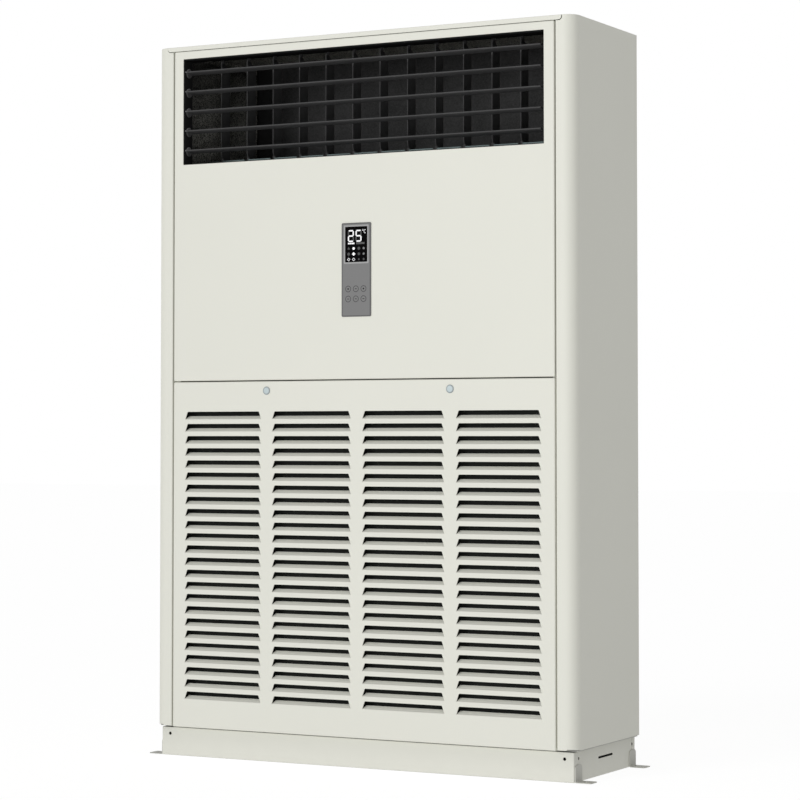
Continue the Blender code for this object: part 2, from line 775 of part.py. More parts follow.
def vane_outline():
    """The vane in plan: a round nose ahead of the pivot, tapering to a thinner round tail."""
    nose, tail = VANE_THICKNESS / 2, VANE_THICKNESS / 4
    front = -VANE_NOSE + nose
    back = VANE_DEPTH - VANE_NOSE - tail
    return arc((0, front), nose, 180, 360, 4) + arc((0, back), tail, 0, 180, 4)


def vane_corner_cuts(height):
    """Cutters for the sloped shoulder behind the neck and for the sloped toe under the nose."""
    tail, nose = VANE_DEPTH - VANE_NOSE + SHEET, -VANE_NOSE - SHEET
    shoulder = height - VANE_SHOULDER_DROP
    neck_foot = shoulder + VANE_SHOULDER_RISE
    above = height + SHEET
    behind = [(tail, shoulder), (tail, above), (VANE_NECK, above), (VANE_NECK, neck_foot)]
    toe = VANE_TOE_CUT - VANE_NOSE
    under = [(nose, -SHEET), (toe, -SHEET), (toe, 0), (-VANE_NOSE, VANE_TOE_RISE), (nose, VANE_TOE_RISE)]
    across = 2 * VANE_THICKNESS
    return [
        flat_solid("shoulder_cut", behind, across, "YZ", (0, 0, 0)),
        flat_solid("toe_cut", under, across, "YZ", (0, 0, 0)),
    ]


def build_vanes():
    """Like vanes on upright pins, with a headed peg for the link bar under each tail."""
    height = VANE_TOP - VANE_BOTTOM
    vane = flat_solid("vane_form", vane_outline(), height, "XY", (0, 0, height / 2), BLACK_PLASTIC)
    cut(vane, *vane_corner_cuts(height))
    seat = RAIL_WEB_TOP + TOUCH - VANE_BOTTOM
    lower_end = RAIL_WEB_TOP - RAIL_SHEET - TOUCH - VANE_BOTTOM
    upper_seat = UPPER_WEB - TOUCH - VANE_BOTTOM
    upper_end = LINING_UNDERSIDE - TOUCH - VANE_BOTTOM
    sunk = height - COLLAR_RADIUS
    collar = rod("collar", COLLAR_RADIUS, (0, 0, seat), (0, 0, COLLAR_RADIUS), sides=PIN_SIDES)
    top_collar = rod("top_collar", COLLAR_RADIUS, (0, 0, sunk), (0, 0, upper_seat), sides=PIN_SIDES)
    pin = rod("pivot_pin", PIN_RADIUS, (0, 0, lower_end), (0, 0, upper_end), sides=PIN_SIDES)
    under_bar = -2 * TOUCH - LINK_THICKNESS
    peg_profile = [
        (0, LINK_THICKNESS),
        (LINK_PEG_RADIUS, LINK_THICKNESS),
        (LINK_PEG_RADIUS, under_bar),
        (LINK_HEAD_RADIUS, under_bar),
        (LINK_HEAD_RADIUS, under_bar - LINK_HEAD_HEIGHT),
        (0, under_bar - LINK_HEAD_HEIGHT),
    ]
    peg = turned("link_peg", peg_profile, None, (0, LINK_FROM_AXIS, 0), sides=PIN_SIDES)
    fuse(vane, collar, top_collar, pin, peg)
    form = evaluated_mesh(vane, "upright_vane")
    form.transform(vane.matrix_world)
    bpy.data.objects.remove(vane)
    for number, x in enumerate(vane_places(), 1):
        smooth(place(f"upright_vane_{number:02d}", form, BLACK_PLASTIC, (x, VANE_Y, VANE_BOTTOM)))


def build_link_bar():
    xs = vane_places()
    length = xs[-1] - xs[0] + 2 * LINK_WIDTH
    level = VANE_BOTTOM - TOUCH - LINK_THICKNESS / 2
    bar = flat_solid(
        "link_bar",
        rounded(length, LINK_WIDTH, LINK_WIDTH / 2.01),
        LINK_THICKNESS,
        "XY",
        (0, LINK_Y, level),
        BLACK_PLASTIC,
    )
    radius = LINK_PEG_RADIUS + PIN_CLEARANCE
    for x in xs:
        below, above = (x, LINK_Y, level - LINK_THICKNESS), (x, LINK_Y, level + LINK_THICKNESS)
        cut(bar, rod("peg_hole", radius, below, above, sides=PIN_SIDES))


def build_rails():
    """Channels across the outlet: the lower one on the plenum floor, the upper one under the lining."""
    half = OUTLET_HALF - TOUCH
    floor = FLOOR_TOP + TOUCH
    lip = SILL + RAIL_LIP_ABOVE_SILL
    web = RAIL_WEB_TOP
    front, back = VANE_Y - RAIL_FRONT, VANE_Y + RAIL_BACK
    profile = [
        (front, floor),
        (front + RAIL_SHEET, floor),
        (front + RAIL_SHEET, web - RAIL_SHEET),
        (back - RAIL_SHEET, web - RAIL_SHEET),
        (back - RAIL_SHEET, floor),
        (back, floor),
        (back, web),
        (front + RAIL_SHEET, web),
        (front + RAIL_SHEET, lip),
        (front, lip),
    ]
    lower = flat_solid("lower_vane_rail", profile, 2 * half, "YZ", (0, 0, 0), GALVANISED)
    ceiling = LINING_UNDERSIDE - TOUCH
    channel = [
        (front, ceiling),
        (front, UPPER_WEB),
        (back, UPPER_WEB),
        (back, ceiling),
        (back - RAIL_SHEET, ceiling),
        (back - RAIL_SHEET, UPPER_WEB + RAIL_SHEET),
        (front + RAIL_SHEET, UPPER_WEB + RAIL_SHEET),
        (front + RAIL_SHEET, ceiling),
    ]
    upper = flat_solid("upper_vane_rail", channel, 2 * half, "YZ", (0, 0, 0), BLACK_PLASTIC)
    radius = PIN_RADIUS + PIN_CLEARANCE
    for x in vane_places():
        bottom, top = (x, VANE_Y, floor - SHEET), (x, VANE_Y, web + SHEET)
        low_hole = rod("low_hole", radius, bottom, top, sides=PIN_SIDES)
        notch = box(
            "collar_notch",
            (x - RAIL_NOTCH_WIDTH / 2, front - SHEET, web + SHEET),
            (x + RAIL_NOTCH_WIDTH / 2, front + 2 * RAIL_SHEET, lip + SHEET),
        )
        cut(lower, low_hole, notch)
        bottom, top = (x, VANE_Y, UPPER_WEB - SHEET), (x, VANE_Y, UPPER_WEB + 2 * RAIL_SHEET)
        cut(upper, rod("high_hole", radius, bottom, top, sides=PIN_SIDES))


# Plenum and filter

def build_plenum():
    wall = HALF_WIDTH - SHEET - TOUCH
    floor_back = BACK - BACK_FLANGE - TOUCH
    floor_bottom = FLOOR_TOP - SHEET
    box("plenum_floor", (-wall, PLENUM_FRONT, floor_bottom), (wall, floor_back, FLOOR_TOP), GALVANISED)
    top = LINING_UNDERSIDE - TOUCH
    for side, name in ((-1, "left_lining"), (1, "right_lining")):
        near, far = side * OUTLET_HALF, side * (OUTLET_HALF + LINING)
        low = (min(near, far), PLENUM_FRONT, FLOOR_TOP + TOUCH)
        box(name, low, (max(near, far), PLENUM_BACK, top), FOAM)
    lining_half = OUTLET_HALF + LINING
    rear_front = PLENUM_BACK - SHEET
    box(
        "ceiling_lining",
        (-lining_half, PLENUM_FRONT, LINING_UNDERSIDE),
        (lining_half, rear_front - TOUCH, UNDER_COVER),
        FOAM,
    )
    rear_half = OUTLET_HALF - REAR_WALL_SETBACK
    box(
        "plenum_rear_wall",
        (-rear_half, rear_front, FLOOR_TOP + TOUCH),
        (rear_half, PLENUM_BACK, UNDER_COVER - SHEET - TOUCH),
        BLACK_PLASTIC,
    )


def build_filter():
    """A frame with one window behind each louvre column, and the mesh on its back."""
    bottom = TRAY_TOP + TOUCH
    back = FILTER_FRONT + FILTER_DEPTH
    frame = box(
        "filter_frame",
        (-FILTER_HALF, FILTER_FRONT, bottom),
        (FILTER_HALF, back, FILTER_TOP),
        BLACK_PLASTIC,
    )
    recess = box(
        "filter_recess",
        (-FILTER_HALF + FILTER_BORDER, FILTER_FRONT - SHEET, bottom + FILTER_BORDER),
        (FILTER_HALF - FILTER_BORDER, back - FILTER_DIVIDER_DEPTH, FILTER_TOP - FILTER_BORDER),
    )
    cut(frame, recess)
    edges = [-FILTER_HALF + FILTER_BORDER - FILTER_DIVIDER / 2]
    edges += [(i - (LOUVRE_COLUMNS - 2) / 2) * COLUMN_PITCH for i in range(LOUVRE_COLUMNS - 1)]
    edges += [FILTER_HALF - FILTER_BORDER + FILTER_DIVIDER / 2]
    for left, right in zip(edges, edges[1:]):
        window = box(
            "filter_window",
            (left + FILTER_DIVIDER / 2, FILTER_FRONT, bottom + FILTER_BORDER),
            (right - FILTER_DIVIDER / 2, back + SHEET, FILTER_TOP - FILTER_BORDER),
        )
        cut(frame, window)
    box(
        "filter_mesh",
        (-FILTER_HALF, back + TOUCH, bottom),
        (FILTER_HALF, back + TOUCH + MESH_SHEET, FILTER_TOP),
        FILTER_MESH,
    )


build_base()
build_feet()
build_side_panels()
build_back_panel()
build_top_cover()
build_upper_panel()
build_grille_panel()
build_controls()
build_outlet_frame()
build_blades()
build_vanes()
build_link_bar()
build_rails()
build_plenum()
build_filter()
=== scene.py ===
import bmesh
import bpy
import numpy as np
from mathutils import Matrix, Vector


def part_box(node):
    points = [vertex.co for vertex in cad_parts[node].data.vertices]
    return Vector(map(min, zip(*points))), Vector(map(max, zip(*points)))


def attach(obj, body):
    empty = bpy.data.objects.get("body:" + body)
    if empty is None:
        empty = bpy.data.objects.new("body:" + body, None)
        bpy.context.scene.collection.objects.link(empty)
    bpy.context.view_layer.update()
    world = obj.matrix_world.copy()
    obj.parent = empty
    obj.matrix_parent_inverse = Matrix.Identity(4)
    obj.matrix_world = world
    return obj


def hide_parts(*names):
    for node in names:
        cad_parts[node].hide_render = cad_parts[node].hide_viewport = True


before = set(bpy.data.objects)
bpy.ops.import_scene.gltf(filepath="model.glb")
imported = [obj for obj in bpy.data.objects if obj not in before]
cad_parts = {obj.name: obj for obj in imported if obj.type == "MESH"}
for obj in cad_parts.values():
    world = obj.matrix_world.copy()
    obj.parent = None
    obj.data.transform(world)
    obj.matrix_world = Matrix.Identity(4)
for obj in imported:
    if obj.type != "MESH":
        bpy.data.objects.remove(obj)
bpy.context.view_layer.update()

# %% [markdown]
# Places come from the frame. A node's box gives its lowest and highest corners, so a panel is found by asking
# the frame and not by typing its place again. Only what a box can't tell is written as a number: the
# thickness of the sheet, the radius of its bends, the lines that the vanes turn about and the louvre pattern.
# %% Places
def corners_of(node):
    """The lowest and highest corner of a node, as two rows of numbers."""
    low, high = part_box(node)
    return np.array(low), np.array(high)


SHEET, BEND, TOUCH = 0.002, 0.003, 0.0003
CORNER_RADIUS = 0.0303
PANEL_LOW, PANEL_HIGH = corners_of("upper_front_panel")
GRILLE_LOW, GRILLE_HIGH = corners_of("intake_grille_panel")
SIDE_LOW, SIDE_HIGH = corners_of("right_side_panel")
FRONT, BACK = float(PANEL_LOW[1]), float(corners_of("back_panel")[1][1])
HALF_WIDTH, TOP = float(SIDE_HIGH[0]), float(SIDE_HIGH[2])
PANEL_HALF, UNDER_COVER = float(PANEL_HIGH[0]), float(PANEL_HIGH[2])
FLANGE = float(PANEL_HIGH[1]) - FRONT
FRAME_WALL = 0.006
MOUTH_LOW, MOUTH_HIGH = corners_of("outlet_frame")
OUTLET_HALF = float(MOUTH_HIGH[0]) - FRAME_WALL
SILL, OUTLET_TOP = float(MOUTH_LOW[2]) + FRAME_WALL, float(MOUTH_HIGH[2]) - FRAME_WALL
BLADE_AXIS, UPRIGHT_AXIS = FRONT + 0.024, FRONT + 0.131
print("outlet", round(2 * OUTLET_HALF, 4), "wide and", round(OUTLET_TOP - SILL, 4), "high")

# %% [markdown]
# A camera makes a picture look like the photograph only if it stands where the photographer stood. Here it
# stands about 6.5 m away, 28 degrees to the right of the front and near the middle of the cabinet's height,
# and looks up by two degrees. A little vertical shift keeps the whole cabinet in a square picture, as a view
# camera would.
# %% Camera
def camera(place, yaw, pitch, roll, lens, shift):
    """Looks along the direction given by yaw to the left and pitch upwards, then rolls about it."""
    yaw, pitch, roll = np.radians([yaw, pitch, roll])
    ahead = np.array([-np.sin(yaw) * np.cos(pitch), np.cos(yaw) * np.cos(pitch), np.sin(pitch)])
    level = np.array([np.cos(yaw), np.sin(yaw), 0.0])
    upright = np.cross(level, ahead)
    right = np.cos(roll) * level + np.sin(roll) * upright
    above = np.cos(roll) * upright - np.sin(roll) * level
    made = bpy.data.objects.new("camera", bpy.data.cameras.new("camera"))
    turn = np.eye(4)
    turn[:3, :3] = np.stack([right, above, -ahead], 1)
    turn[:3, 3] = place
    made.matrix_world = Matrix(turn)
    made.data.lens, made.data.sensor_width, made.data.shift_y = lens, 36.0, shift
    made.data.clip_end = 60.0
    bpy.context.scene.collection.objects.link(made)
    bpy.context.scene.camera = made
    return made


eye = camera((3.099, -5.7357, 0.8293), 28.2217, 2.1597, -0.0078, lens=114.087, shift=-0.075)
bpy.context.scene.view_settings.view_transform = "Standard"
print("camera at", [round(float(c), 3) for c in eye.location])

# %% [markdown]
# Shader maths reads best as sums. Blender's Math node does one step of a sum, so this class wraps a socket
# and lets Python's own signs add the nodes: `1 - mask * 0.2` becomes two Math nodes. Every other node comes
# from one method, which sets the node's options first and then its sockets.
# %% Sums made of nodes
class Wire:
    """A socket that stands in a sum. Adding, taking away or multiplying adds a Math node."""

    def __init__(self, tree, socket=None):
        self.tree, self.socket = tree, socket

    def node(self, kind, settings=None, sockets=None, out=0):
        """A node of that type: its settings first, then a value or a link for each named socket."""
        made = self.tree.nodes.new("ShaderNode" + kind)
        for name, value in (settings or {}).items():
            setattr(made, name, value)
        for name, value in (sockets or {}).items():
            if isinstance(value, Wire):
                self.tree.links.new(value.socket, made.inputs[name])
            else:
                made.inputs[name].default_value = value
        return Wire(self.tree, made.outputs[out])

    def maths(self, operation, first, second=0.0):
        return self.node("Math", {"operation": operation}, {0: first, 1: second})

    def __add__(self, other):
        return self.maths("ADD", self, other)

    def __sub__(self, other):
        return self.maths("SUBTRACT", self, other)

    def __rsub__(self, other):
        return self.maths("SUBTRACT", other, self)

    def __mul__(self, other):
        return self.maths("MULTIPLY", self, other)

    def __truediv__(self, other):
        return self.maths("DIVIDE", self, other)

    def __rtruediv__(self, other):
        return self.maths("DIVIDE", other, self)

    def __lt__(self, other):
        return self.maths("LESS_THAN", self, other)

    def size(self):
        return self.maths("ABSOLUTE", self)

    def least(self, other):
        return self.maths("MINIMUM", self, other)

    def between(self, low, high):
        """0 below low, 1 above high, and straight between them."""
        return self.node("MapRange", {"clamp": True}, {0: self, 1: low, 2: high})

    __radd__ = __add__
    __rmul__ = __mul__


print("sums ready")

# %% [markdown]
# The world of a material is its Object coordinates, in metres, because every piece's object sits at the
# origin. A scale of 100 in a noise is then a grain of about one centimetre on each piece alike. These few
# patterns are all that the finishes below are mixed from.
# %% Patterns
def material(name):
    """A new material whose tree is ready for sums, and the place of each point in metres."""
    made = bpy.data.materials.new(name)
    made.use_nodes = True
    return made, Wire(made.node_tree).node("TexCoord", out="Object")


def noise(place, scale, detail=2.0, roughness=0.5):
    """Cloudy grain from 0 to 1, its grains about one over the scale across."""
    sockets = {"Vector": place, "Scale": scale, "Detail": detail, "Roughness": roughness}
    return place.node("TexNoise", {}, sockets)


def cells(place, scale, out="Distance"):
    """Cells about one over the scale across: the distance to the nearest centre, or a colour for each."""
    return place.node("TexVoronoi", {}, {"Vector": place, "Scale": scale}, out)


def axis(place, letter):
    return place.node("SeparateXYZ", {}, {0: place}, letter)


def blend(mask, colour_a, colour_b):
    """Colour a where the mask is 0 and colour b where it is 1."""
    pair = [(*c, 1.0) if isinstance(c, tuple) else c for c in (colour_a, colour_b)]
    return mask.node("Mix", {"data_type": "RGBA"}, {0: mask, 6: pair[0], 7: pair[1]}, 2)


def relief(height, depth, strength):
    """A bump of that depth in metres."""
    return height.node("Bump", {}, {"Height": height, "Distance": depth, "Strength": strength})


def finish(made, **sockets):
    """Sets the surface's own sockets: numbers as they are, patterns as links."""
    shader = made.node_tree.nodes["Principled BSDF"]
    for name, value in sockets.items():
        socket = shader.inputs[name.replace("_", " ")]
        if isinstance(value, Wire):
            made.node_tree.links.new(value.socket, socket)
        else:
            socket.default_value = value
    return made


print("patterns ready")

# %% [markdown]
# Powder coat is a baked plastic skin. It is never quite smooth: it has a faint orange peel a millimetre or
# two across, its gloss changes a little from place to place, and dust settles near the floor. The cabinet and
# its base share this finish, and only the base carries more dust. Some places carry painted shade or light:
# the ledges behind the front seams are darkened as painted shade, the base darkens upwards as painted shade
# under the cabinet, and so do the tabs of the left feet. The louvres' flaps are paler as painted light. The
# back and the base are cream only outside: deeper than the skin they turn nearly black, painted shade for the
# dark inside, so no bright sheet shows through an opening.
# %% Powder coated steel
DUST_HEIGHT, DUST = 0.16, (0.52, 0.50, 0.44)


def times(colour, share):
    return tuple(c * share for c in colour)


def powder_coat(name, colour, dust, painted_shading=None, painted_shading_tone=1.0, skin=None, inside_painted_shade=0.008):
    """The mask gives, from the place, where the colour is darker or paler by its tone: painted shade where it
    is darker and painted light where it is paler. skin gives how deep a point lies below the outside, and
    below the skin the colour is a near-black grey, painted shade for the dark inside."""
    made, place = material(name)
    cloud, grain, peel = noise(place, 3.0, 3.0), noise(place, 900.0), noise(place, 420.0, 1.0)
    dirt = (1.0 - axis(place, "Z").between(0.0, DUST_HEIGHT)) * noise(place, 26.0, 4.0) * dust
    tone = blend(dirt, blend(cloud * 0.5 + grain * 0.3, colour, times(colour, 0.955)), DUST)
    # Painted shade and painted light: the mask darkens or brightens the colour by its tone.
    if painted_shading:
        tone = blend(painted_shading(place), tone, times(colour, painted_shading_tone))
    # Painted shade: below the skin the colour turns near black.
    if skin:
        tone = blend(skin(place).between(SHEET * 0.7, SHEET * 0.9), tone, (inside_painted_shade, inside_painted_shade, inside_painted_shade))
    return finish(
        made,
        Base_Color=tone,
        Roughness=0.40 + grain * 0.10 + cloud * 0.06 + dirt * 0.3,
        Normal=relief(peel, 0.00012, 0.35),
        Specular_IOR_Level=0.35,
    )


def below_back_skin(place):
    return BACK - axis(place, "Y")


def below_base_skin(place):
    """The least distance to the planes of the base's front, sides and back."""
    side, front = BASE_HALF - axis(place, "X").size(), axis(place, "Y") - BASE_FRONT
    return side.least(front).least(below_back_skin(place))


# Painted shade: the ledges behind the front seams are darkened where the seam gap shades them.
def ledge_painted_shade(place):
    return axis(place, "X").size() < SEAM_X + TOUCH


# Painted light: the flaps are made paler where they catch the light.
def flap_painted_light(place):
    return (axis(place, "Y") - FRONT).between(0.002, 0.004)


# Painted shade: the tabs of the left feet are darkened.
def left_tab_painted_shade(place):
    return (axis(place, "Z") < 0.003) * (axis(place, "X") < 0.0)


# Painted shade: the base darkens upwards towards the overhang of the cabinet.
def base_painted_shade_upwards(place):
    return axis(place, "Z").between(0.02, BASE_TOP)


BASE_LOW, BASE_HIGH = corners_of("base_front_skirt")
BASE_FRONT, BASE_HALF, BASE_TOP = float(BASE_LOW[1]), float(BASE_HIGH[0]), float(BASE_HIGH[2])
SEAM_X = HALF_WIDTH - 0.0508
CREAM, BASE_CREAM, FOOT_GREY = (0.800, 0.800, 0.722), (0.795, 0.795, 0.718), (0.600, 0.600, 0.550)
# The tones below are painted: shade on the seam ledges, the upper base and the left tabs, light on the flaps.
CABINET_PAINT = powder_coat("cabinet_paint", CREAM, 0.06)
SIDE_PAINT = powder_coat("side_paint", CREAM, 0.06, ledge_painted_shade, 0.80)
BACK_PAINT = powder_coat("back_paint", CREAM, 0.06, skin=below_back_skin, inside_painted_shade=0.018)
INTAKE_PAINT = powder_coat("intake_paint", CREAM, 0.06, flap_painted_light, 1.19)
BASE_PAINT = powder_coat("base_paint", BASE_CREAM, 0.16, base_painted_shade_upwards, 0.86, below_base_skin)
FOOT_PAINT = powder_coat("foot_paint", FOOT_GREY, 0.30, left_tab_painted_shade, 0.80)
print("powder coat ready")

# %% [markdown]
# The plastics are moulded: the vanes have a fine spark-eroded grain and a slight sheen, the outlet frame is
# duller, and the screw caps are a pale blue grey, darkened towards the rim as painted shade. Each is a colour
# whose roughness and bump follow the grain. The discs of the horizontal vanes are paler as painted light,
# most of all in their upper halves, and so are the noses of the upright vanes near the top. The left jamb is
# paler as painted light, and the rear wall is coarse and mottled.
# %% Moulded plastics
def moulded(name, colour, rough, grain_scale, depth, specular=0.5, rim=None, light_and_shade_tone=0.6, contrast=1.25):
    """rim gives, from the place, where the colour is changed by the tone: painted shade where it darkens,
    painted light where it pales.
    """
    made, place = material(name)
    grain, cloud = noise(place, grain_scale, 3.0, 0.6), noise(place, 9.0)
    pale = tuple(c * contrast + 0.002 for c in colour)
    tone = blend((grain * 0.6 + cloud * 0.5).between(0.35, 0.8), colour, pale)
    # Painted shade and painted light: the mask darkens or brightens the colour by its tone.
    if rim:
        tone = blend(rim(place), tone, times(colour, light_and_shade_tone))
    return finish(
        made,
        Base_Color=tone,
        Roughness=rough + grain * 0.12 - cloud * 0.06,
        Normal=relief(grain, depth, 0.5),
        Specular_IOR_Level=specular,
    )


DISC_SIDE, NOSE_FACE, NOSE_DEPTH = OUTLET_HALF - 0.0045, UPRIGHT_AXIS - 0.0083, 0.0012
# Painted light: the upright vanes' noses are paler between these heights.
NOSE_LIGHT_START, NOSE_LIGHT_END = 1.778, 1.790
LOWEST_PIN, HIGHEST_PIN = [float(sum(corners_of(f"horizontal_vane_{n}"))[2]) / 2 for n in (5, 1)]
PIN_PITCH = (HIGHEST_PIN - LOWEST_PIN) / 4


def cap_painted_shade(place):
    """The distance from the nearer cap's middle, as a mask that starts where the rim does: a ring of painted
    shade.
    """
    middle = sum(corners_of("right_screw_cap")) / 2
    x, z = axis(place, "X").size() - float(middle[0]), axis(place, "Z") - float(middle[2])
    square = x * x + z * z
    return square.maths("SQRT", square).between(0.0066, 0.0090)


def vane_painted_light(place):
    """Painted light on the discs, where the height above the lowest pin, in pitches, tells upper halves from
    lower ones, and on the upright vanes' noses near the top."""
    turns = (axis(place, "Z") - LOWEST_PIN) / PIN_PITCH
    discs = (axis(place, "X") < -DISC_SIDE) * (0.16 + (turns.maths("FRACT", turns) < 0.5) * 0.64)
    noses = (axis(place, "Y") - NOSE_FACE).size() < NOSE_DEPTH
    return discs + noses * axis(place, "Z").between(NOSE_LIGHT_START, NOSE_LIGHT_END) * 0.5


# Painted light: the left jamb is made paler, as if more light reached it through the mouth.
def left_jamb_painted_light(place):
    return axis(place, "X") < 0.001 - OUTLET_HALF


VANE_PLASTIC = moulded("vane_plastic", (0.058, 0.058, 0.0585), 0.50, 1500.0, 0.00008, 0.2, vane_painted_light, 6.0)
REAR_PLASTIC = moulded("rear_wall", (0.024, 0.024, 0.024), 0.75, 260.0, 0.00060, 0.2, contrast=3.2)
FRAME_PLASTIC = moulded("frame_plastic", (0.0035, 0.0035, 0.0036), 0.62, 1200.0, 0.00010, 0.1, left_jamb_painted_light, 5.0)
CAP_PLASTIC = moulded("cap_plastic", (0.455, 0.530, 0.545), 0.38, 1400.0, 0.00005, rim=cap_painted_shade)
MARK_GREY = moulded("mark_grey", (0.042, 0.042, 0.042), 0.5, 1600.0, 0.00003, 0.3)
MARK_BLACK = moulded("mark_black", (0.010, 0.010, 0.010), 0.5, 1600.0, 0.00003, 0.2)
EDGE_GREY = moulded("edge_grey", (0.33, 0.33, 0.33), 0.45, 1600.0, 0.00003, 0.3)
print("plastics ready")

# %% [markdown]
# Galvanised sheet shows the zinc's crystals, flat patches a centimetre across that each shine a little
# differently. A Voronoi texture gives every crystal a colour, and multiplied by one it becomes a number: the
# crystal's own grey and its own roughness. Below 0.3 m, where the tray under the cabinet lies, the sheet is
# given a pale grey and is less of a metal.
# %% Galvanised sheet
GALVANISED, place = material("galvanised_sheet")
crystal, stain = cells(place, 95.0, "Color") * 1.0, noise(place, 14.0, 4.0)
zinc = blend(crystal * 0.7 + stain * 0.3, (0.040, 0.056, 0.056), (0.095, 0.120, 0.120))
# Below 0.3 m, on the tray, the sheet is a pale grey and less of a metal.
pale_low_down = axis(place, "Z") < 0.3
finish(
    GALVANISED,
    Base_Color=blend(pale_low_down, zinc, (0.50, 0.50, 0.46)),
    Metallic=0.75 - pale_low_down * 0.7,
    Roughness=0.34 + crystal * 0.14 + stain * 0.08,
    Normal=relief(crystal + noise(place, 700.0), 0.00006, 0.4),
)
print("galvanised sheet ready")

# %% [markdown]
# Behind the vanes the plenum is lined with open foam, which swallows sound. It is nearly black with a brown
# cast, and its pores catch a little light. The grain is coarse enough to show as a mottle from across the
# room. Deeper in and lower down the foam is paler, as painted light, but not close under the ceiling. The
# slab on the ceiling is paler still, also painted light.
# %% Lining foam
FOAM, place = material("lining_foam")
pores, mottle = cells(place, 420.0), noise(place, 230.0, 3.0, 0.8)
speckle = (mottle * 0.8 + pores * 0.5).between(0.56, 0.73)
# Painted light: the foam is paler deeper in, lower down and on the ceiling, standing in for light there.
deeper, height = axis(place, "Y").between(-0.128, 0.0), axis(place, "Z")
lower, under_ceiling = 1.0 - height.between(1.67, 1.77), height.between(1.79, 1.81)
painted_light_mask = (deeper * 0.5 + lower * 0.5) * (1.0 - under_ceiling)
plain_foam = blend(speckle, (0.0096, 0.0097, 0.0088), (0.074, 0.0735, 0.067))
foam_painted_lit = blend(speckle, (0.048, 0.0485, 0.044), (0.365, 0.362, 0.330))
ceiling_foam_painted_lit = blend(speckle, (0.044, 0.0435, 0.039), (0.420, 0.412, 0.368))
finish(
    FOAM,
    Base_Color=blend(height.between(1.815, 1.828), blend(painted_light_mask, plain_foam, foam_painted_lit), ceiling_foam_painted_lit),
    Roughness=0.92 - pores * 0.1,
    Normal=relief(pores + mottle, 0.0012, 0.8),
    Specular_IOR_Level=0.15,
)
print("foam ready")

# %% [markdown]
# The filter is a woven screen in a black frame behind the louvres. A weave is two sets of threads that pass
# over and under: a wave each way gives the threads' round backs, and where both are low the holes stay dark.
# %% Filter screen
FILTER_MESH, place = material("filter_mesh")
weave = {"Vector": place, "Scale": 110.0, "Distortion": 0.4}
warp, weft = [place.node("TexWave", {"bands_direction": way}, weave, 1) for way in ("X", "Z")]
thread = (warp + weft) * 0.5
finish(
    FILTER_MESH,
    Base_Color=blend(thread * noise(place, 30.0), (0.003, 0.0035, 0.003), (0.021, 0.025, 0.021)),
    Roughness=0.8 - thread * 0.2,
    Specular_IOR_Level=0.15,
    Normal=relief(thread, 0.0005, 0.6),
)
print("filter ready")

# %% [markdown]
# The control plate is a satin grey film with a darker border, over the touch sensor. The display is smoked
# glass, and what it shows is lit from behind, so the figures are emissive and the unlit ones stay as faint
# grey ghosts.
# %% Control plate and display
PLATE_LOW, PLATE_HIGH = corners_of("control_plate")
PLATE_BORDER = 0.0034
GREY_PLATE, place = material("grey_plate")
plate_middle, plate_half = (PLATE_LOW + PLATE_HIGH) / 2, (PLATE_HIGH - PLATE_LOW) / 2
to_side = (axis(place, "X").size() - float(plate_half[0])).size()
to_end = ((axis(place, "Z") - float(plate_middle[2])).size() - float(plate_half[2])).size()
satin = noise(place, 1800.0)
finish(
    GREY_PLATE,
    Base_Color=blend(
        to_side.least(to_end) < PLATE_BORDER,
        blend(satin * 0.5, (0.187, 0.187, 0.187), (0.212, 0.212, 0.212)),
        (0.117, 0.117, 0.117),
    ),
    Roughness=0.46 + satin * 0.12,
    Normal=relief(satin, 0.00004, 0.4),
    Specular_IOR_Level=0.3,
)
GLASS_BLACK, place = material("display_black")
smear = noise(place, 45.0, 4.0)
finish(
    GLASS_BLACK,
    Base_Color=blend(smear, (0.0008, 0.0008, 0.0009), (0.0022, 0.0022, 0.0024)),
    Roughness=0.10 + smear * 0.10,
    Normal=relief(smear, 0.00002, 0.2),
    Specular_IOR_Level=0.004,
)


def lit(name, level):
    """A figure that shines evenly: its colour is emitted, a little weaker between its dots."""
    made, place = material(name)
    dots = cells(place, 900.0)
    shine = blend(dots, (level, level, level), (level * 0.9, level * 0.9, level * 0.92))
    dark = (0.01, 0.01, 0.01, 1.0)
    return finish(
        made, Base_Color=dark, Roughness=0.5 + dots * 0.1, Emission_Color=shine, Emission_Strength=1.0
    )


LIT_WHITE, LIT_GREY, LIT_GHOST = lit("lit_white", 1.0), lit("lit_grey", 0.17), lit("lit_ghost", 0.028)
print("plate and display ready")

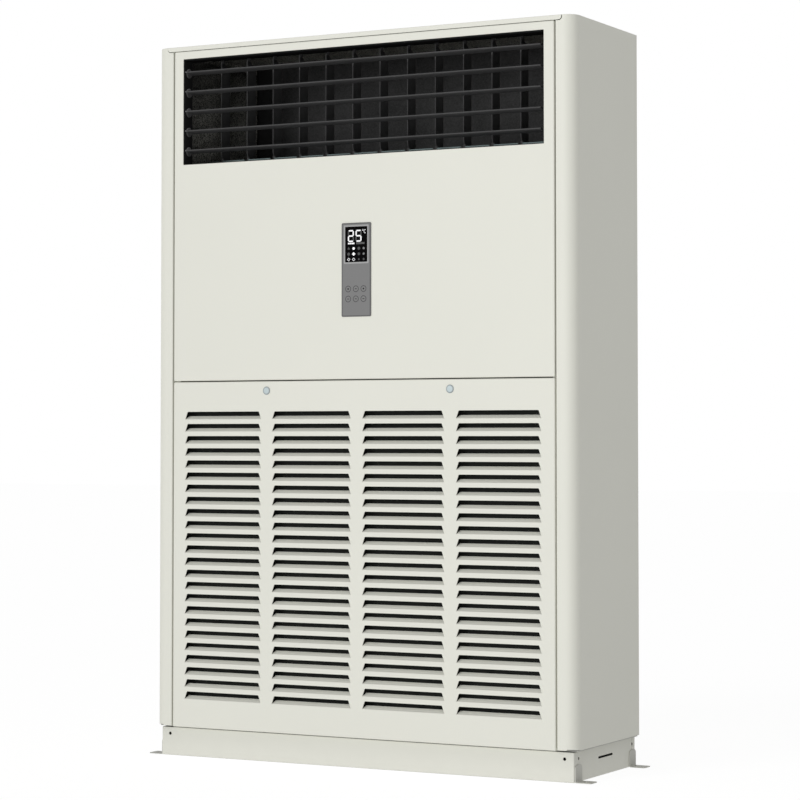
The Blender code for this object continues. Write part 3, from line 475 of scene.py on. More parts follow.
# %% [markdown]
# Every new mesh is a set of surfaces worked out with numpy. A surface is a grid of points; this class numbers
# the points, joins neighbours with quads and stacks the surfaces. Where a grid ends in a point, or meets
# another, the doubled points are merged at the end, so seams and poles are closed.
# %% Meshes from grids
class Form:
    """Points and quads of one mesh, gathered surface by surface."""

    def __init__(self):
        self.points, self.quads, self.count = [], [], 0

    def grid(self, points, round_rows=False, round_columns=False):
        """Points of shape (..., rows, columns, 3). Each is joined to the next along both directions, and the
        last to the first where a direction is closed."""
        points = np.asarray(points, float)
        number = np.arange(points.size // 3).reshape(points.shape[:-1]) + self.count
        if round_rows:
            number = np.concatenate([number, number[..., :1, :]], -2)
        if round_columns:
            number = np.concatenate([number, number[..., :1]], -1)
        corner = [number[..., :-1, :-1], number[..., 1:, :-1], number[..., 1:, 1:], number[..., :-1, 1:]]
        self.quads.append(np.stack(corner, -1).reshape(-1, 4))
        self.points.append(points.reshape(-1, 3))
        self.count += points.size // 3
        return self

    def capped(self, points):
        """A grid closed along its columns, whose first and last row are each drawn together in the middle."""
        points = np.asarray(points, float)
        ends = points[..., [0, -1], :, :]
        middle = ends.mean(-2, keepdims=True) + np.zeros_like(ends)
        whole = np.concatenate([middle[..., :1, :, :], points, middle[..., 1:, :, :]], -3)
        return self.grid(whole, round_columns=True)

    def mesh(self, name):
        made = bpy.data.meshes.new(name)
        made.from_pydata(np.concatenate(self.points), [], np.concatenate(self.quads))
        tidy_up(made)
        return made


def tidy_up(mesh, gap=2e-6):
    """Merges points closer than the gap and turns all faces outwards."""
    form = bmesh.new()
    form.from_mesh(mesh)
    bmesh.ops.remove_doubles(form, verts=form.verts, dist=gap)
    bmesh.ops.recalc_face_normals(form, faces=form.faces)
    form.to_mesh(mesh)
    form.free()


def show(name, shape, paint, *stands_for, body="cabinet", slot=None, sharp=32.0, wall=0.0, edge=0.0):
    """Makes the piece, smooth but for edges sharper than that angle, and lets it ride on its body, in the
    place of the nodes it stands for. A wall thickens a surface to both sides, and an edge rounds it."""
    mesh = shape.mesh(name) if isinstance(shape, Form) else shape
    mesh.materials.clear()
    mesh.materials.append(paint)
    mesh.shade_smooth()
    mesh.set_sharp_from_angle(angle=np.radians(sharp))
    thing = bpy.data.objects.new(name, mesh)
    bpy.context.scene.collection.objects.link(thing)
    if wall:
        solid = thing.modifiers.new("wall", "SOLIDIFY")
        solid.thickness, solid.offset, solid.use_even_offset = wall, 0.0, True
    if edge:
        bevel = thing.modifiers.new("edge", "BEVEL")
        bevel.width, bevel.segments = edge, 2
        bevel.limit_method, bevel.angle_limit = "ANGLE", np.radians(40)
    thing.modifiers.new("flat_faces", "WEIGHTED_NORMAL").keep_sharp = not edge
    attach(thing, body)
    if stands_for:
        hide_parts(*stands_for)
    print(f"{name}: {len(mesh.polygons)} faces on {body}")
    return thing


# %% [markdown]
# Outlines are closed loops of points. All loops that are to be joined have the same number of points, counted
# from the same corner, so a surface between two of them is only a grid with two rows.
# %% Outlines
ARC, STRAIGHT = 2, 4
STEPS = 2 * ARC + STRAIGHT
ROUND = -0.75 * np.pi + 2 * np.pi * np.arange(4 * STEPS) / (4 * STEPS)


def aim(angle):
    """The direction of each angle: its cosine and its sine."""
    return np.stack([np.cos(angle), np.sin(angle)], -1)


def square():
    """Round the square from corner (-1, -1), anticlockwise, with even steps on each side."""
    t, one = np.arange(STEPS) / STEPS * 2 - 1, np.ones(STEPS)
    return np.concatenate([np.stack(side, 1) for side in ((t, -one), (one, t), (-t, one), (-one, -t))])


def circle(centre, radius):
    """The centre plus the radius times the directions of evenly spaced angles."""
    return np.array(centre) + radius * aim(ROUND)


def directions(steps):
    """Steps along a path, each brought to a length of one."""
    return steps / np.linalg.norm(steps, axis=-1, keepdims=True)


def corner_arcs(before, after, corner, radius, steps):
    """The arcs that touch both lines of each corner, and the directions to the path's right. An arc starts
    the radius times the tangent of half the turn before its corner. Its centre is one radius to the side
    that it turns to."""
    turn = np.arctan2(before[:, 0] * after[:, 1] - before[:, 1] * after[:, 0], (before * after).sum(1))
    side = np.sign(turn) * radius
    start = corner - before * (radius * np.tan(abs(turn) / 2))[:, None]
    centre = start + np.stack([-before[:, 1], before[:, 0]], 1) * side[:, None]
    heading = np.arctan2(before[:, 1], before[:, 0])[:, None] + turn[:, None] * np.linspace(0, 1, steps + 1)
    right = np.stack([np.sin(heading), -np.cos(heading)], -1)
    return centre[:, None] + right * side[:, None, None], right


def soft_corners(corners, radii):
    """A closed loop of four corners made round, with even steps on the straight lines between the arcs. It
    starts in the middle of the first corner's arc."""
    corners = np.asarray(corners, float)
    ahead = directions(np.roll(corners, -1, 0) - corners)
    radii = np.broadcast_to(np.asarray(radii, float), (4,))
    arcs, _ = corner_arcs(np.roll(ahead, 1, 0), ahead, corners, radii, 2 * ARC)
    following = np.roll(arcs, -1, 0)
    t = (np.arange(1, STRAIGHT) / STRAIGHT)[None, :, None]
    line = arcs[:, -1:] * (1 - t) + following[:, :1] * t
    return np.concatenate([arcs[:, ARC:], line, following[:, :ARC]], 1).reshape(-1, 2)


def bent(corners, radii, steps=6):
    """An open path whose inner corners are arcs, and the directions to its right."""
    corners = np.asarray(corners, float)
    ahead = directions(np.diff(corners, axis=0))
    radii = np.broadcast_to(np.asarray(radii, float), (len(corners) - 2,))
    arcs, right = corner_arcs(ahead[:-1], ahead[1:], corners[1:-1], radii, steps)
    ends = np.stack([ahead[[0, -1], 1], -ahead[[0, -1], 0]], 1)
    points = np.concatenate([corners[:1], arcs.reshape(-1, 2), corners[-1:]])
    return points, np.concatenate([ends[:1], right.reshape(-1, 2), ends[1:]])


def rectangle(u0, v0, u1, v1, radius):
    return soft_corners([(u0, v0), (u1, v0), (u1, v1), (u0, v1)], radius)


def outward(loop):
    """At each point of an anticlockwise loop, the direction to the right of the line past its neighbours."""
    along = directions(np.roll(loop, -1, -2) - np.roll(loop, 1, -2))
    return np.stack([along[..., 1], -along[..., 0]], -1)


def quarter(radius, steps, turn=90.0):
    """How far a bend of that radius has come sideways and inwards: the sine, and one less the cosine."""
    angle = np.radians(np.linspace(0, turn, steps + 1))
    return radius * np.sin(angle), radius * (1 - np.cos(angle))


def spots(*parts):
    """Points from their x, y and z, or from two places in a plane, each a number or an array."""
    return np.stack(np.broadcast_arrays(*parts), -1)


def face(across, at=0.0, way=1):
    """A plane across the axis X, Y or Z. It turns pairs of places along the plane, and depths that way from
    it, into points."""
    index = "XYZ".index(across)

    def points(pairs, depth):
        parts = [pairs[..., 0], pairs[..., 1]]
        return spots(*parts[:index], at + way * depth, *parts[index:])

    return points


print("outlines ready")

# %% [markdown]
# Each panel of the cabinet is a shallow tray folded from 2 mm sheet: a flat face, a bend of 3 mm radius all
# round and a flange behind it. The face is laid out in tiles. A tile with an opening is a set of loops
# between its own border and the opening's edge, which is rounded a little and goes back through the sheet.
# Then the tray's rim is a profile of bend, flange and inner wall, carried round the outside.
# %% Folded trays with openings
def tray(plane, us, vs, openings, flange, edge=0.0006):
    """us and vs are the lines between tiles, the outer ones at the tray's edges. openings holds the loop of
    each opening by its tile's column and row."""
    form = Form()
    us, vs = np.array(us, float), np.array(vs, float)
    us[[0, -1]] += (BEND, -BEND)
    vs[[0, -1]] += (BEND, -BEND)
    column, row = [index.ravel() for index in np.indices((len(us) - 1, len(vs) - 1))]
    low = np.stack([us[column], vs[row]], 1)[:, None]
    high = np.stack([us[column + 1], vs[row + 1]], 1)[:, None]
    border = (low + high) / 2 + (high - low) / 2 * square()
    opened = np.array([(c, r) in openings for c, r in zip(column, row)])
    plain = border[~opened]
    if len(plain):
        sheet = np.stack([plain, plain.mean(1, keepdims=True) + 0 * plain], 1)
        for depth in (0.0, SHEET):
            form.grid(plane(sheet, depth), round_columns=True)
    if opened.any():
        loops = np.stack([openings[c, r] for c, r, o in zip(column, row, opened) if o])
        nearer, sunk = quarter(edge, 3)
        rounds = [loops + outward(loops) * (edge - t) for t in nearer]
        rings = [border[opened], *rounds, loops, border[opened]]
        depths = np.array([0.0, *sunk, SHEET, SHEET])[:, None]
        form.grid(plane(np.stack(rings, 1), depths), round_columns=True)
    t = np.arange(STEPS) / STEPS
    u_line, v_line = [np.append((x[:-1, None] + np.diff(x)[:, None] * t).ravel(), x[-1]) for x in (us, vs)]
    lines = [(u_line[:-1], vs[0]), (us[-1], v_line[:-1]), (u_line[:0:-1], vs[-1]), (us[0], v_line[:0:-1])]
    lines = [spots(u, v) for u, v in lines]
    fan = np.radians(np.arange(-90, 0, 15))
    path = np.concatenate([np.concatenate([np.repeat(line[:1], len(fan), 0), line]) for line in lines])
    turns = [np.append(fan, np.zeros(len(line))) + np.radians(a) for line, a in zip(lines, (-90, 0, 90, 180))]
    outer, inner = quarter(BEND, 6), quarter(BEND - SHEET, 6)
    reach = np.concatenate([outer[0], [BEND, BEND - SHEET], inner[0][::-1]])[:, None, None]
    depth = np.concatenate([outer[1], [flange, flange], inner[1][::-1] + SHEET])[:, None]
    return form.grid(plane(path + aim(np.concatenate(turns)) * reach, depth), round_columns=True)


def rounded_front(outline, edge):
    """The outline drawn in by the edge's radius and let out again in steps, and how deep each step lies."""
    nearer, sunk = quarter(edge, 3)
    return [outline - outward(outline) * (edge - t) for t in nearer], sunk


def plate(plane, outline, depth):
    """A flat plate: its outline rounded at the front, then carried back."""
    rings, sunk = rounded_front(outline, 0.0003)
    return Form().capped(plane(np.stack([*rings, outline]), np.array([*sunk, depth])[:, None]))


def turned(form, plane, centre, profile, count=24):
    """A profile of radius and height carried round the centre."""
    radius, height = np.array(profile, float).T[..., None]
    angle = 2 * np.pi * np.arange(count) / count
    return form.grid(plane(centre + radius[..., None] * aim(angle), height + 0 * angle), round_columns=True)


print("trays, plates and turned shapes ready")

# %% [markdown]
# The intake panel is the hardest piece: 96 slots in four columns, each with a flap pressed inwards from its
# lower edge. A press tears the metal along the top and the two slanted ends and bends it along the bottom, so
# the flap is one sheet with the panel: it leaves the face in a tight bend and rises into the cabinet.
# %% Intake panel
COLUMNS, ROWS = 4, 24
COLUMN_PITCH, ROW_PITCH, TOP_ROW = 0.263, 0.03142, 0.8725
SLOT_HALF, SLOT_HEIGHT, SLOT_TAPER, SLOT_FOOT = 0.1151, 0.0185, 0.007, -0.0012
slot_x = (np.arange(COLUMNS) - (COLUMNS - 1) / 2) * COLUMN_PITCH
slot_z = TOP_ROW - np.arange(ROWS)[::-1] * ROW_PITCH
SLOT_TOP_HALF, LOWER_ROUND, UPPER_ROUND = SLOT_HALF - SLOT_TAPER, 0.0006, 0.0028
slot_corners = [(-SLOT_HALF, SLOT_FOOT), (SLOT_HALF, SLOT_FOOT)]
slot_corners += [(SLOT_TOP_HALF, SLOT_HEIGHT), (-SLOT_TOP_HALF, SLOT_HEIGHT)]
slot_loop = soft_corners(slot_corners, [LOWER_ROUND, LOWER_ROUND, UPPER_ROUND, UPPER_ROUND])
margin = (ROW_PITCH - SLOT_HEIGHT) / 2
us = [GRILLE_LOW[0], *(slot_x[:-1] + slot_x[1:]) / 2, GRILLE_HIGH[0]]
vs = [GRILLE_LOW[2], *(slot_z - margin), slot_z[-1] - margin + ROW_PITCH, GRILLE_HIGH[2]]
slots = {(c, r + 1): slot_loop + (slot_x[c], slot_z[r]) for c in range(COLUMNS) for r in range(ROWS)}
panel = tray(face("Y", FRONT), us, vs, slots, FLANGE)


def flaps(form, sheet=0.0016, bend=0.0026, turn=61.0, length=0.0150, sunk=0.00005, below=0.0022):
    """A strip that leaves the face below each slot's edge, bends inwards and goes on straight. Its half width
    falls with its height, like the slot's. Rows are places along it and columns go round its thickness."""
    ahead, up = quarter(bend, 8, turn)[::-1]
    way = np.radians(turn)
    depth = np.append(ahead, ahead[-1] + np.sin(way) * length)
    height = np.append(up, up[-1] + np.cos(way) * length) - below
    angle = np.append(np.radians(np.linspace(0, turn, 9)), way)
    back_depth, back_height = depth + np.cos(angle) * sheet, height - np.sin(angle) * sheet
    half = SLOT_HALF - 0.0012 - SLOT_TAPER * np.clip(height, 0, None) / SLOT_HEIGHT
    x = np.stack([-half, half, half, -half], 1)
    y = FRONT + sunk + np.stack([depth, depth, back_depth, back_depth], 1)
    z = np.stack([height, height, back_height, back_height], 1)
    return form.capped(spots(x + slot_x[:, None, None, None], y, z + slot_z[None, :, None, None]))


show("intake_panel", flaps(panel), INTAKE_PAINT, "intake_grille_panel", slot="cabinet_paint")

# %% [markdown]
# The upper panel is the same kind of tray with one mouth for the outlet. The back panel is plain. The side
# panels are one sheet each in plan: a ledge behind the front panels' seam, a front return, a round corner,
# the side and a return at the back. Their path is carried up the cabinet, and its top is cut out round the
# end of the cover's lip, so a dark gap shows there.
# %% Upper, back and side panels
mouth = rectangle(-OUTLET_HALF, SILL - 0.0022, OUTLET_HALF, OUTLET_TOP + 0.0008, 0.0015)
LIP_HEIGHT, LIP_END, LIP_ROUND, LIP_GAP = 0.0117, HALF_WIDTH - 0.034, 0.008, 0.0015
upper_us = [-PANEL_HALF, PANEL_HALF]
upper_vs = [PANEL_LOW[2] - 0.0008, SILL - 0.03, TOP - LIP_HEIGHT - 0.0004]
upper_tray = tray(face("Y", FRONT), upper_us, upper_vs, {(0, 1): mouth}, FLANGE)
show("upper_panel", upper_tray, CABINET_PAINT, "upper_front_panel", slot="cabinet_paint")
low, high = corners_of("back_panel")
back_tray = tray(face("Y", BACK, -1), [low[0], high[0]], [low[2], high[2]], {}, high[1] - low[1])
show("back_sheet", back_tray, BACK_PAINT, "back_panel", slot="cabinet_paint")
LEDGE, SIDE_BEND_STEPS, CUT_ROWS = 0.015, 16, 10
CORNER_LIFT, LIFT_ROWS = 0.0025, 10


def side_panel(side, soft=0.0004):
    """Rows follow the path in plan and columns go round the sheet's long thin section. Some rows are put in
    where the top is cut out, and the bottom edge is a little higher under the front of the round corner."""
    ledge_y = FRONT + FLANGE + TOUCH
    corners = [(SEAM_X - LEDGE, ledge_y), (SEAM_X, ledge_y), (SEAM_X, FRONT), (HALF_WIDTH, FRONT)]
    corners += [(HALF_WIDTH, BACK), (HALF_WIDTH - LEDGE, BACK)]
    points, right = bent(corners, [0.001, BEND, CORNER_RADIUS, BEND], SIDE_BEND_STEPS)
    step, radius, cut_low = 1 + 2 * (SIDE_BEND_STEPS + 1), LIP_ROUND + LIP_GAP, TOP - LIP_HEIGHT - LIP_GAP
    along, risen = quarter(radius, 8)
    round_x, round_z = np.append(along, radius) + LIP_END - LIP_ROUND, np.append(risen + cut_low, TOP)
    points = np.insert(points, [step] * CUT_ROWS, spots(round_x, FRONT), 0)
    right = np.insert(right, [step] * CUT_ROWS, (0.0, -1.0), 0)
    behind = np.where(points[:step, 1] > FRONT + SHEET + TOUCH, UNDER_COVER, cut_low)
    top = np.concatenate([behind, round_z, np.full(len(points) - step - CUT_ROWS, TOP)])[:, None]
    number = np.arange(len(points)) - step
    down = np.clip((CUT_ROWS + SIDE_BEND_STEPS - number) / LIFT_ROWS, 0, 1)
    lift = np.where(number > CUT_ROWS + 1, CORNER_LIFT * down, 0)
    bottom = (SIDE_LOW[2] + lift)[:, None]
    inset = np.array([0, 0, soft, SHEET - soft, SHEET, SHEET, SHEET - soft, soft])
    at_top = np.array([0, 1, 1, 1, 1, 0, 0, 0])
    drop = np.array([soft, -soft, 0, 0, -soft, soft, 0, 0])
    plan = points[:, None] - right[:, None] * inset[:, None]
    height = np.where(at_top, top, bottom) + drop
    return Form().capped(spots(side * plan[..., 0], plan[..., 1], height))


show("right_side", side_panel(1), SIDE_PAINT, "right_side_panel", slot="cabinet_paint")
show("left_side", side_panel(-1), SIDE_PAINT, "left_side_panel", slot="cabinet_paint")

# %% [markdown]
# The top cover lies inside the side panels, and its front edge folds down over the front panels as a thin lip
# with round lower corners. One surface makes both: it runs from left to right, and at each step its section
# is the plate with the lip as long as the corner allows. Beyond the lip the section is the plate alone, and
# follows the round corner of the cabinet.
# %% Top cover
def top_cover(lip_sheet=0.0012, fold=0.0016, soft=0.0005):
    corner_x, radius = HALF_WIDTH - CORNER_RADIUS, CORNER_RADIUS - SHEET - TOUCH
    lip_front, back = FRONT - TOUCH - lip_sheet, BACK - SHEET - TOUCH
    along, risen = quarter(LIP_ROUND, 8)
    x_lip, foot = np.append(0.0, LIP_END - LIP_ROUND + along), TOP - LIP_HEIGHT + np.append(0.0, risen)
    fold_out, fold_in = quarter(fold, 5)

    def section(y_front, size, edge_drop, z_foot, thick):
        """The section's depths and heights: top, fold, lip and back along the underside."""
        level, under = TOP - edge_drop, TOP - SHEET
        y = [back, back - soft, *(y_front + size * (1 - s / fold) for s in fold_out)]
        z = [level - soft, level, *(level - size * s / fold for s in fold_in)]
        y += [y_front, y_front + thick * 0.25, y_front + thick * 0.75, y_front + thick, y_front + thick, back]
        z += [z_foot + thick * 0.25, z_foot, z_foot, z_foot + thick * 0.25, under, under]
        return [spots(*(part + 0 * y_front for part in parts)) for parts in (y, z)]

    none = np.zeros(len(x_lip))
    y_lip, z_lip = section(none + lip_front, fold, none, foot, lip_sheet)
    turn = np.append(np.radians(np.linspace(0, 90, 13)), np.pi / 2)
    x_plate = np.append(LIP_END, corner_x + (radius - soft) * np.sin(turn))
    x_plate[-1] += soft
    y_round = FRONT + CORNER_RADIUS - radius * np.cos(np.append(0.0, turn))
    drop = np.append(np.zeros(14), soft)
    y_plate, z_plate = section(y_round, soft, drop, np.full(15, TOP - SHEET), 0.0)
    x = np.concatenate([x_lip, x_plate])[:, None]
    half = spots(x, np.concatenate([y_lip, y_plate]), np.concatenate([z_lip, z_plate]))
    return Form().capped(np.concatenate([half[:0:-1] * (-1, 1, 1), half]))


show("cover", top_cover(), CABINET_PAINT, "top_cover", slot="cabinet_paint")

# %% [markdown]
# The base is four channels of the same sheet. The front one has two round holes, and each side has one hole
# and a long narrow slot for lifting. Four angle brackets stand beside it: each is one bent strip with a
# round-shouldered leg and a drilled tab on the floor.
# %% Base and feet
SIDES = ((-1, "left"), (1, "right"))
HOLE, HOLE_HEIGHT, HOLE_FROM_END, SIDE_HOLE_Y = 0.004, 0.056, 0.025, FRONT + 0.043
SLOT_Y, SLOT_Z, SLOT_LONG, SLOT_HIGH = FRONT + 0.2025, 0.045, 0.0445, 0.00275
low, high = corners_of("base_front_skirt")
hole_x = high[0] - HOLE_FROM_END
us = [low[0], low[0] + 0.05, high[0] - 0.05, high[0]]
holes = {(0, 0): circle((-hole_x, HOLE_HEIGHT), HOLE), (2, 0): circle((hole_x, HOLE_HEIGHT), HOLE)}
skirt = tray(face("Y", low[1]), us, [low[2], high[2] - 0.0020], holes, high[1] - low[1])
show("base_front", skirt, BASE_PAINT, "base_front_skirt", slot="base_paint")
for side, word in SIDES:
    low, high = corners_of(f"base_{word}_side")
    us = [low[1], low[1] + 0.03, high[1]]
    lifting_slot = rectangle(-SLOT_LONG, -SLOT_HIGH, SLOT_LONG, SLOT_HIGH, 0.0027) + (SLOT_Y, SLOT_Z)
    cuts = {(0, 0): circle((SIDE_HOLE_Y, HOLE_HEIGHT), HOLE), (1, 0): lifting_slot}
    outside = side * max(abs(low[0]), abs(high[0]))
    channel = tray(face("X", outside, -side), us, [low[2], high[2]], cuts, high[0] - low[0])
    show(f"base_{word}", channel, BASE_PAINT, f"base_{word}_side", slot="base_paint")


def foot(low, high, side, leg_round=0.010, tab_round=0.005, fold=0.003, bolt=0.005):
    """The strip's middle surface. Its half width is full along the strip and falls to its two ends as the
    corner's circle does. The tab's hole sits in a tile of its own."""
    near, far = sorted((abs(low[0]), abs(high[0])))
    middle, half = (low[1] + high[1]) / 2, (high[1] - low[1]) / 2
    level, leg = SHEET / 2, near + SHEET / 2
    t = np.linspace(-1, 1, STEPS + 1)

    def strip(x, z, into, radius):
        """Rows across the strip, as wide as the corner's circle leaves at that distance from the end."""
        cut_in = radius - np.sqrt(radius**2 - np.clip(radius - into, 0, None) ** 2)
        y = middle + (half - cut_in)[:, None] * t
        return spots(side * x[:, None], y, z[:, None])

    turn = np.sin(np.radians(np.linspace(0, 90, 9)))
    form = Form()
    hole_at = (near + far + SHEET) / 2
    inner, outer = leg + fold + 0.001, far - tab_round
    into = tab_round * (1 - turn)
    form.grid(strip(far - into[::-1], level + 0 * into, into[::-1], tab_round))
    tile = np.array(((inner + outer) / 2, middle)) + square() * ((outer - inner) / 2, half)
    rings = np.stack([tile, circle((hole_at, middle), bolt)])
    form.grid(face("Z", level)(rings * (side, 1), 0.0), round_columns=True)
    points, _ = bent([(inner, level), (leg, level), (leg, high[2])], fold)
    points = points[:-1]
    form.grid(strip(points[:, 0], points[:, 1], 1 + 0 * points[:, 0], leg_round))
    into = leg_round * (1 - turn)
    up = np.append(points[-1, 1], high[2] - into)
    form.grid(strip(leg + 0 * up, up, np.append(leg_round, into), leg_round))
    return form


for end in ("front", "rear"):
    for side, word in SIDES:
        node = f"foot_{end}_{word}"
        bracket = foot(*corners_of(node), side)
        show(f"{end}_{word}_foot", bracket, FOOT_PAINT, node, slot="base_paint", wall=SHEET, edge=0.0003)

# %% [markdown]
# The control plate stands 2 mm proud of the upper panel, with a window for the display. Its lower half
# carries six printed rings, the touch buttons, each with a small mark in its middle.
# %% Control plate
PLATE_FRONT, PLATE_DEEP, INK = float(PLATE_LOW[1]) + 0.00004, 0.0016, 0.00003
WINDOW_LOW, WINDOW_HIGH = corners_of("display_window")


def box_round(low, high, grow, radius):
    """The rounded outline of a node's box as it is seen from the front, let out on all sides by that much."""
    return rectangle(low[0] - grow, low[2] - grow, high[0] + grow, high[2] + grow, radius)


outline = box_round(PLATE_LOW, PLATE_HIGH, 0.0, 0.003)
window = box_round(WINDOW_LOW, WINDOW_HIGH, 0.0, 0.0012)
room = window + outward(window) * TOUCH
rings, sunk = rounded_front(outline, 0.0004)
depths = np.array([*sunk, PLATE_DEEP, PLATE_DEEP, 0.0])[:, None]
points = face("Y", PLATE_FRONT)(np.stack([*rings, outline, room, room]), depths)
body = Form().grid(points, round_rows=True, round_columns=True)
show("control_panel", body, GREY_PLATE, "control_plate", slot="grey_plate")
glass = plate(face("Y", WINDOW_LOW[1]), window, 0.0014)
show("display_glass", glass, GLASS_BLACK, "display_window", slot="display_black")


def printed(form, plane, loops, hollow=None):
    """Thin printed shapes. A solid one is its loop, front and back; a hollow one also has its inner loop."""
    if hollow is None:
        return form.capped(plane(np.stack([loops, loops], -3), np.array([0.0, INK])[:, None]))
    rings = plane(np.stack([loops, loops, hollow, hollow], -3), np.array([0.0, INK, INK, 0.0])[:, None])
    return form.grid(rings, round_rows=True, round_columns=True)


ON_PLATE, FRAME_LINE = face("Y", PLATE_FRONT - 0.00002), 0.004
border = printed(Form(), ON_PLATE, box_round(WINDOW_LOW, WINDOW_HIGH, FRAME_LINE, 0.002), room)
show("display_border", border, EDGE_GREY)
BUTTON_X, BUTTON_Z = (-0.023, -0.001, 0.021), (1.1973, 1.1721)
centres = np.array([(x, z) for z in BUTTON_Z for x in BUTTON_X])[:, None]
rings = printed(Form(), ON_PLATE, circle((0, 0), 0.0082) + centres, circle((0, 0), 0.0065) + centres)
show("button_rings", rings, MARK_GREY)
marks = printed(Form(), ON_PLATE, circle((0, 0), 0.0023) + centres[[0, 2]])
printed(marks, ON_PLATE, rectangle(-0.0028, -0.0009, 0.0028, 0.0009, 0.0008) + centres[[1, 3, 4, 5]])
show("button_marks", marks, MARK_BLACK)

# %% [markdown]
# The display shows a temperature in seven-segment figures. Each figure is seven round-ended bars on a grid of
# its own; the ones that aren't lit stay as ghosts. Under it are a level bar and three rows of plain icons.
# %% Display figures
ON_GLASS = face("Y", WINDOW_LOW[1] - INK)


def on_glass(loop):
    """Millimetres right and down from the window's upper left corner, as places on the cabinet's front."""
    loop = np.asarray(loop) / 1000.0
    return np.stack([WINDOW_LOW[0] + loop[..., 0], WINDOW_HIGH[2] - loop[..., 1]], -1)


def bar(x0, y0, x1, y1, thick, ends=0.95):
    """A box round the line from one point to the other, its corners nearly half circles."""
    u0, u1 = min(x0, x1) - thick / 2, max(x0, x1) + thick / 2
    v0, v1 = min(y0, y1) - thick / 2, max(y0, y1) + thick / 2
    return rectangle(u0, v0, u1, v1, thick / 2 * ends)


def figure(left, top, width, height, thick, lit_bars, gap=0.6):
    """The seven bars of a figure, those named in lit_bars first and the others after them."""
    x0, x1 = left + thick / 2, left + width - thick / 2
    y0, y1, y2 = top + thick / 2, top + height / 2, top + height - thick / 2
    g = thick / 2 + gap
    bars = {"a": (x0 + g, y0, x1 - g, y0), "b": (x1, y0 + g, x1, y1 - g), "c": (x1, y1 + g, x1, y2 - g)}
    bars |= {"d": (x0 + g, y2, x1 - g, y2), "e": (x0, y1 + g, x0, y2 - g), "f": (x0, y0 + g, x0, y1 - g)}
    bars["g"] = (x0 + g, y1, x1 - g, y1)
    loops = {name: bar(*ends, thick) for name, ends in bars.items()}
    return [loops[n] for n in bars if n in lit_bars], [loops[n] for n in bars if n not in lit_bars]


def polygon(x, y, radius, sides=40, turn=0.0, teeth=0.0):
    """A loop whose radius is that of a regular polygon at each angle, with a wave on it for teeth."""
    part = 2 * np.pi / sides
    flat = np.cos(part / 2) / np.cos((ROUND - turn) % part - part / 2)
    reach = radius * (flat if not teeth else 1 + teeth * np.sign(np.sin(8 * ROUND + 0.1)))
    return np.array((x, y)) + reach[:, None] * aim(ROUND)


white, ghost = figure(7.6, 8.3, 17.2, 30.0, 3.5, "abged")
more_white, more_ghost = figure(29.6, 8.3, 17.2, 30.0, 3.5, "afgcd")
white, ghost = white + more_white, ghost + more_ghost
white += [bar(x, 40.9, x + 2.6, 43.1, 1.7, 0.3) for x in (8.8, 13.8, 18.8, 23.0)]
white += [polygon(24.2, 54.9, 3.5), polygon(24.2, 68.7, 4.9, 4)]
ghost += [polygon(9.9, 54.9, 4.4, 3, np.pi / 6), polygon(39.1, 54.9, 3.8), polygon(9.9, 68.7, 3.9)]
ghost += [polygon(39.1, 68.7, 3.5, 40, 0.0, 0.18), polygon(39.1, 82.3, 2.4), polygon(52.9, 82.3, 3.4, 4)]
grey = [polygon(52.9, 54.9, 3.3, 6), polygon(52.9, 68.7, 3.2, 5)]
grey += [bar(32.0, y, 54.8, y, 1.1, 0.3) for y in (40.6, 43.4)]
outer, inner = [[polygon(x, 82.3, radius, 4) for x in (9.9, 24.2)] for radius in (4.5, 3.0)]
show("lit_figures", printed(Form(), ON_GLASS, on_glass(white)), LIT_WHITE)
show("dim_icons", printed(Form(), ON_GLASS, on_glass(grey)), LIT_GREY)
show("outlined_icons", printed(Form(), ON_GLASS, on_glass(outer), on_glass(inner)), LIT_WHITE)
show("ghost_figures", printed(Form(), ON_GLASS, on_glass(ghost)), LIT_GHOST)


def open_ring(x, y, wide, high, thick, start, end):
    """A band between two ellipses, from one angle to another: the degree ring, or the letter after it."""
    angle = np.radians(np.linspace(start, end, 28))
    outer, inner = [on_glass(np.array((x, y)) + aim(-angle) * (wide - s, high - s)) for s in (0.0, thick)]
    return ON_GLASS(np.stack([outer, inner, inner, outer]), np.array([0, 0, INK, INK])[:, None])


unit = Form().grid(open_ring(57.0, 12.7, 3.6, 4.8, 1.1, 55, 305), round_rows=True)
unit.grid(open_ring(50.8, 9.4, 2.0, 2.0, 0.8, 0, 360), round_rows=True)
show("unit_figure", unit, LIT_WHITE)

# %% [markdown]
# Two screw caps close the intake panel's fixing holes. Each is a low dome with a rounded rim and a shank that
# presses into the hole.
# %% Screw caps
DOME_SHARE, DOME_FALL, SHANK = 0.86, 0.0003, 0.009


def cap(low, high):
    """The profile of the dome, the rim's quarter turn and the shank, turned round the cap's middle."""
    radius, rise = (high[0] - low[0]) / 2, FRONT - TOUCH - low[1]
    inner, t = radius * DOME_SHARE, np.linspace(0, 1, 7)
    dome = [(inner * s, DOME_FALL * s * s) for s in t]
    out, back = quarter(1.0, 6)
    rim = [(inner + (radius - inner) * u, DOME_FALL + (rise - 0.0004) * w) for u, w in zip(out, back)]
    shank = [(radius, rise), (HOLE, rise), (HOLE, rise + SHANK), (0, rise + SHANK)]
    return turned(Form(), face("Y", low[1]), ((low + high) / 2)[[0, 2]], dome + rim[1:] + shank, 40)


for _, word in SIDES:
    node = f"{word}_screw_cap"
    show(f"{word}_cap", cap(*corners_of(node)), CAP_PLASTIC, node, slot="cap_plastic")

